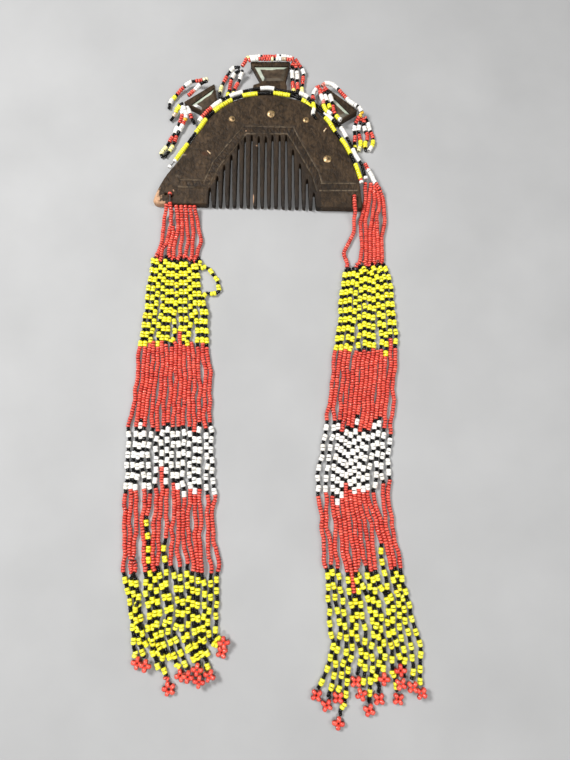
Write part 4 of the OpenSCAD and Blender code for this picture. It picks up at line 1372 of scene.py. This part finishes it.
# Strands round each finial: the lengths of their bead runs, and the route of x, y, z that each takes
LOOPS = {
    "left": [
        ("C3.5 R3.9 K2 W3.9 K1.3 R5 K1.4 S3 W3.3 K3.3", [
            (-28, 75.3, 5.6), (-32, 74.8, 5.4), (-37, 75.5, 4), (-41.5, 73.5, 2.5), (-45.5, 69.5, 1.5),
            (-49, 65, 1.2), (-49.7, 60.5, 1.2)]),
        ("K5.1 W4 P1.8 R3.4", [(-28, 75.3, 5.6), (-31, 72.6, 6.3), (-34, 69.6, 6.3), (-38.4, 65, 6)]),
        ("K1.8 S4.5 T2.4 K2.8", [(-41.4, 60.6, 5.2), (-44, 60, 3.6), (-46.5, 56, 2), (-48.6, 53.6, 1.2)]),
        ("W4.7 R4.9 K2.1 W3.7 K2.4 R3.7 K3.4 C5.8 K2.3", [
            (-41.4, 60.6, 5.2), (-41.4, 57, 4), (-42.6, 53.5, 2.5), (-44.4, 48.5, 1.5), (-47.3, 43, 1.2),
            (-49.8, 38, 1.2), (-52.8, 33.5, 1.2), (-51.2, 31.6, 1.2)]),
        ("W5.6 O2 R2.1 W5 K2.8 R4.6 K2.3 C4.4 K4.2", [
            (-41.4, 60.6, 5.2), (-39.6, 56, 4), (-40.6, 52.5, 2.2), (-43, 48.5, 1.7), (-45.4, 41.5, 1.3),
            (-47.5, 36, 1.2), (-51.2, 31.6, 1.2)]),
        ("W5.8 R3.4 K3.3", [(-41.4, 60.6, 5.2), (-38, 56, 4.2), (-36.6, 53, 3.4), (-35.5, 50, 2.6)])],
    "top": [
        ("R4.6 C1.8 W6.1 K0.6 R7.4 W1.9 K1.2 W6.1 R1.9", [
            (-10, 83.8, 5.2), (-7, 88, 5.8), (-2.5, 89.4, 5.6), (2.5, 90, 5.4), (8, 90, 5.4),
            (13, 89.9, 5.6), (18.8, 88, 5.6)]),
        ("R1.8 W4.9 R6.2 C2.1 K1.4 W3.6 T2.6 R3.3", [
            (-7, 88, 5.8), (-1, 87.8, 6.3), (4.5, 88, 6.1), (10, 87.8, 6.1), (15.5, 87.9, 6.1),
            (18.8, 88, 5.6)]),
        ("K3.3 W3.4 K3.1 R4.2 K2.6 C4.8 K6.5", [
            (-10, 83.8, 5.2), (-12, 84, 4.6), (-15, 84.5, 3.5), (-17.5, 82, 2), (-20, 78, 1.2),
            (-21.5, 74, 1.2), (-22, 69, 1.4), (-20.8, 64.5, 3)]),
        ("K3.4 W3.6 K1.2 R7.4 K2.4 S4.7", [
            (-10, 83.8, 5.2), (-11.5, 82.5, 4), (-14, 82, 2.5), (-15.7, 80, 1.5), (-16.5, 75, 1.2),
            (-17.5, 69, 2), (-17.3, 66, 3.4)]),
        ("K1.5 W4.1 K2.5 R5 K3.1 C2.4", [
            (-10, 83.8, 5.2), (-10, 81.5, 4), (-11, 79.5, 2.5), (-12, 77, 1.8), (-13.5, 74, 1.5),
            (-14.5, 70, 2.4), (-14.3, 67.5, 3.6)]),
        ("R4.6 K1.3 W3.3 K1.1 R5.2 K2.1 C4.5 V6.7", [
            (18.8, 88, 5.6), (19.8, 87, 5), (22, 85.5, 3.5), (24, 83, 2), (23.5, 78.5, 1.5), (23, 73, 1.6),
            (23.5, 68, 2.6), (26, 63.5, 4.4)]),
        ("R2.3 K2.1 W4.5 K1.9 R5.9 C2.6 K3.1", [
            (18.8, 88, 5.6), (17.8, 83.5, 3.6), (17.6, 80.5, 2), (18, 76.5, 1.5), (18.4, 71, 2),
            (18.8, 67, 3.6)]),
        ("R2.7 K2.5 W4 K1.9 R4.8 K6.8", [
            (18.8, 88, 5.6), (20.4, 83, 3.2), (20.4, 79.5, 1.8), (20.6, 75.5, 1.4), (21, 71, 2),
            (22, 66.5, 3.6)])],
    "right": [
        ("P2.1 W8.8 K0.7 R6.9 W7.3 K0.7 W2.9 O1.8", [
            (33.4, 71, 5.6), (35, 72.8, 5.6), (38.5, 73, 5.4), (42.5, 69.2, 5.9), (45.5, 65.4, 6),
            (49, 61, 6), (53.6, 57.6, 6), (55, 54.5, 4.8)]),
        ("R2 W3.6 K1.6 R4.4 K2 S4 V3.8 K3.4", [
            (33.4, 71, 5.6), (31, 71.5, 4), (29.2, 68.6, 3.2), (28.6, 64.4, 5), (28.8, 60, 7.6),
            (29.1, 56.6, 8.2), (28.7, 53.4, 7.6), (30.1, 50.3, 7.2)]),
        ("R3.9 W4.6 P2.1 S4.6 V2.4", [
            (33.4, 71, 5.6), (33, 66.5, 6), (34.2, 61.6, 6.6), (34.6, 57, 8.4), (36.4, 54.6, 8.2),
            (37.6, 52.6, 7.4)]),
        ("R3.4 K2.1 W4.3 K3.1 S2.3", [(33.4, 71, 5.6), (35.5, 64, 6), (36.4, 60.5, 6.4), (38.6, 57.4, 7)]),
        ("R3 K2.8 W4.1 K1.9 R6 K1.6 S3 W1.7", [
            (33.4, 71, 5.6), (37.5, 66, 6.2), (39, 61, 6.2), (39.5, 56, 6.2), (41, 53, 5.9),
            (43.4, 50, 5.9)]),
        ("O1 R3.6 K1.5 W2.7 K2.3 R4.4 K2.5 S1.8 K2.4", [
            (55, 54.5, 4.8), (52, 50.5, 3.4), (51, 48, 2), (51.5, 43.5, 1.2), (51, 38.5, 1.2),
            (52, 34.5, 1.2)]),
        ("R2.8 K2.3 W3.3 K1.8 R4.1 S4.1 C2.7", [
            (55, 54.5, 4.8), (54.5, 51, 3.4), (53.4, 48, 2), (54, 43.5, 1.3), (54.5, 39, 1.3),
            (52.5, 35, 1.2)]),
        ("R2.9 K2.7 W2.7 K1.2 R4.9 K0.7 S4.2 K1.7", [
            (55, 54.5, 4.8), (56, 51, 3.4), (56.5, 48, 2), (58.3, 44, 1.2), (57, 39, 1.3), (57, 35, 1.2)]),
        ("R1.9 K2.4 W5 K1.1 R4.6 K1.3 S3.8 W2.8", [
            (55, 54.5, 4.8), (58, 52, 3), (59.3, 48, 1.5), (61, 44, 1.2), (61, 39, 1.2), (58.5, 35, 1.2)])]}

# The two strings along the arch: first and last knot of the edge, distance from it, lengths of the bead runs
ARCH_STRINGS = {
    "inner": (2.4, 12.1, 0.15, "V1.3 N2.6 V1.3 S11.9 K7.5 S10.6 K5.8 S11.2 K6.3 S9 K7.9 S8.6 K7.2 S6.2 "
              "K10.1 S10.7 K5 S10.2 K6 S9.7 R1.3 V1.3"),
    "outer": (4.3, 12, 2.7, "V2.2 R8.4 V6.5 K5.6 V7.4 K9.5 V7.7 K13.3 V5.9 K13 V6.5 K6.3 V7.1 K7.1 V8.3 "
              "K9.3 V1.3")}
STRING_DROP = 0.3
# Where strands cross over them, the strings along the arch lie lower: x, y, how much, and over what reach
CROSSINGS = [(28.9, 59.8), (34.8, 56.8)]
CROSSING_DROP = 1.7
CROSSING_REACH = 4.5
# How many steps there are from one knot of the plate's edge to the next
EDGE_STEPS = 40
# How firmly the strings along the arch stay at their routes, and the loops at theirs
HOLD_ARCH = 0.5
HOLD_LOOP = 0.22
# How much of its route a strand leaves free for each one that starts at the same place
LOOP_SKIP = 0.9
# The dark thread that binds the strings to the arch, laid as one unbroken cord low in the gap between the
# inner string and the plate, where it also stands in for the shade there: first and last knot, distance from
# the edge, drop and radius
BINDING_AND_GAP_SHADE = (3.2, 12.1, 0.42, 1.1, 0.4)


def edge_line(first, last, gap):
    """A line beside the arch's edge, from one knot number to another."""
    fine = smooth(EDGE_KNOTS, EDGE_STEPS)
    line = (fine + aside(fine) * gap)[round(first * EDGE_STEPS):round(last * EDGE_STEPS) + 1]
    return level(line, face_z(line[:, 1]) - STRING_DROP)


def edging():
    """The strings along the arch and the loops round the finials, settled together."""
    groups = {}
    strings = Strings()
    for name, (first, last, gap, runs) in ARCH_STRINGS.items():
        points, kinds = lay_runs(edge_line(first, last, gap + BEAD_R), runs)
        points[:, :2] += 0.5 * waves(points, [(23, 0.8), (11, 0.7)], draw)[:, None]
        for place in CROSSINGS:
            points[:, 2] -= CROSSING_DROP * np.exp(-(norms(points[:, :2] - place) / CROSSING_REACH) ** 2)
        groups["arch_string_" + name] = [len(strings.parts)]
        strings.add(points, kinds, HOLD_ARCH)
    for side, strands in LOOPS.items():
        members = groups["loops_" + side] = []
        starts = []
        for runs, route in strands:
            taken = min(starts.count(route[0]), 2)
            starts.append(route[0])
            points, kinds = lay_runs(smooth(route), runs, skip=LOOP_SKIP * taken)
            points[:, :2] += draw.normal(0, STRAY, (len(points), 2))
            members.append(len(strings.parts))
            strings.add(points, kinds, HOLD_LOOP)
    strings.join()
    strings.settle(rounds=60, weight=0.0, stiffness=0.12, give=0.94)
    for name, members in groups.items():
        part = strings.only(members)
        part.bead_pieces(name, [name])
        part.thread_piece(name + "_threads", [name])
    # The dark cord also fills the shaded gap between the inner string and the plate
    first, last, gap, drop, radius = BINDING_AND_GAP_SHADE
    route = edge_line(first, last, gap)
    route[:, 2] -= drop + waves(route, [(9, 0.2), (4, 0.15)], draw)
    points, skin = tube(route, radius, 6)
    build("edge_binding_and_gap_shade_thread", points, skin, "thread", ["arch_string_inner"])


# The stage, in metres: half the floor's side; each light's place, size and power in watts; and their aim
FLOOR_HALF = 1.6
LIGHTS = {"soft_key": ((-0.42, 0.12, 0.62), 0.2, 7.6), "soft_fill": ((0.5, -0.15, 0.6), 0.36, 2.5),
          "glint": ((0.05, -0.5, 0.7), 0.06, 2.8)}
AIM = Vector((0.01, -0.06, 0.0))


def stage():
    """A pale floor, soft light from above and a grey room."""
    h = FLOOR_HALF
    mesh = bpy.data.meshes.new("floor")
    mesh.from_pydata([(-h, -h, 0), (h, -h, 0), (h, h, 0), (-h, h, 0)], [], [(0, 1, 2, 3)])
    look = Look("pale_floor", Roughness=0.8, Specular_IOR_Level=0.15)
    mesh.materials.append(look.finish(look.ramp(look.noise(0.02, 4, 0.5), (0.3, 0.33), (0.7, 0.365))))
    put("floor", mesh)
    for name, (place, size, power) in LIGHTS.items():
        lamp = put(name, bpy.data.lights.new(name, "AREA"))
        lamp.data.shape = "SQUARE"
        lamp.data.size = size
        lamp.data.energy = power
        lamp.location = place
        lamp.rotation_euler = (AIM - Vector(place)).to_track_quat("-Z", "Y").to_euler()
    world = bpy.data.worlds.new("room")
    world.use_nodes = True
    background = world.node_tree.nodes["Background"].inputs
    background["Color"].default_value = (1.0, 0.98, 0.95, 1)
    background["Strength"].default_value = 0.15
    bpy.context.scene.world = world


stage()
Comb().make()
for side in FINIALS:
    mirror(side)
for side in TACKS:
    tack(side)
for side in NAILS:
    nail(side)
edging()
for side in BANDS:
    band(side)
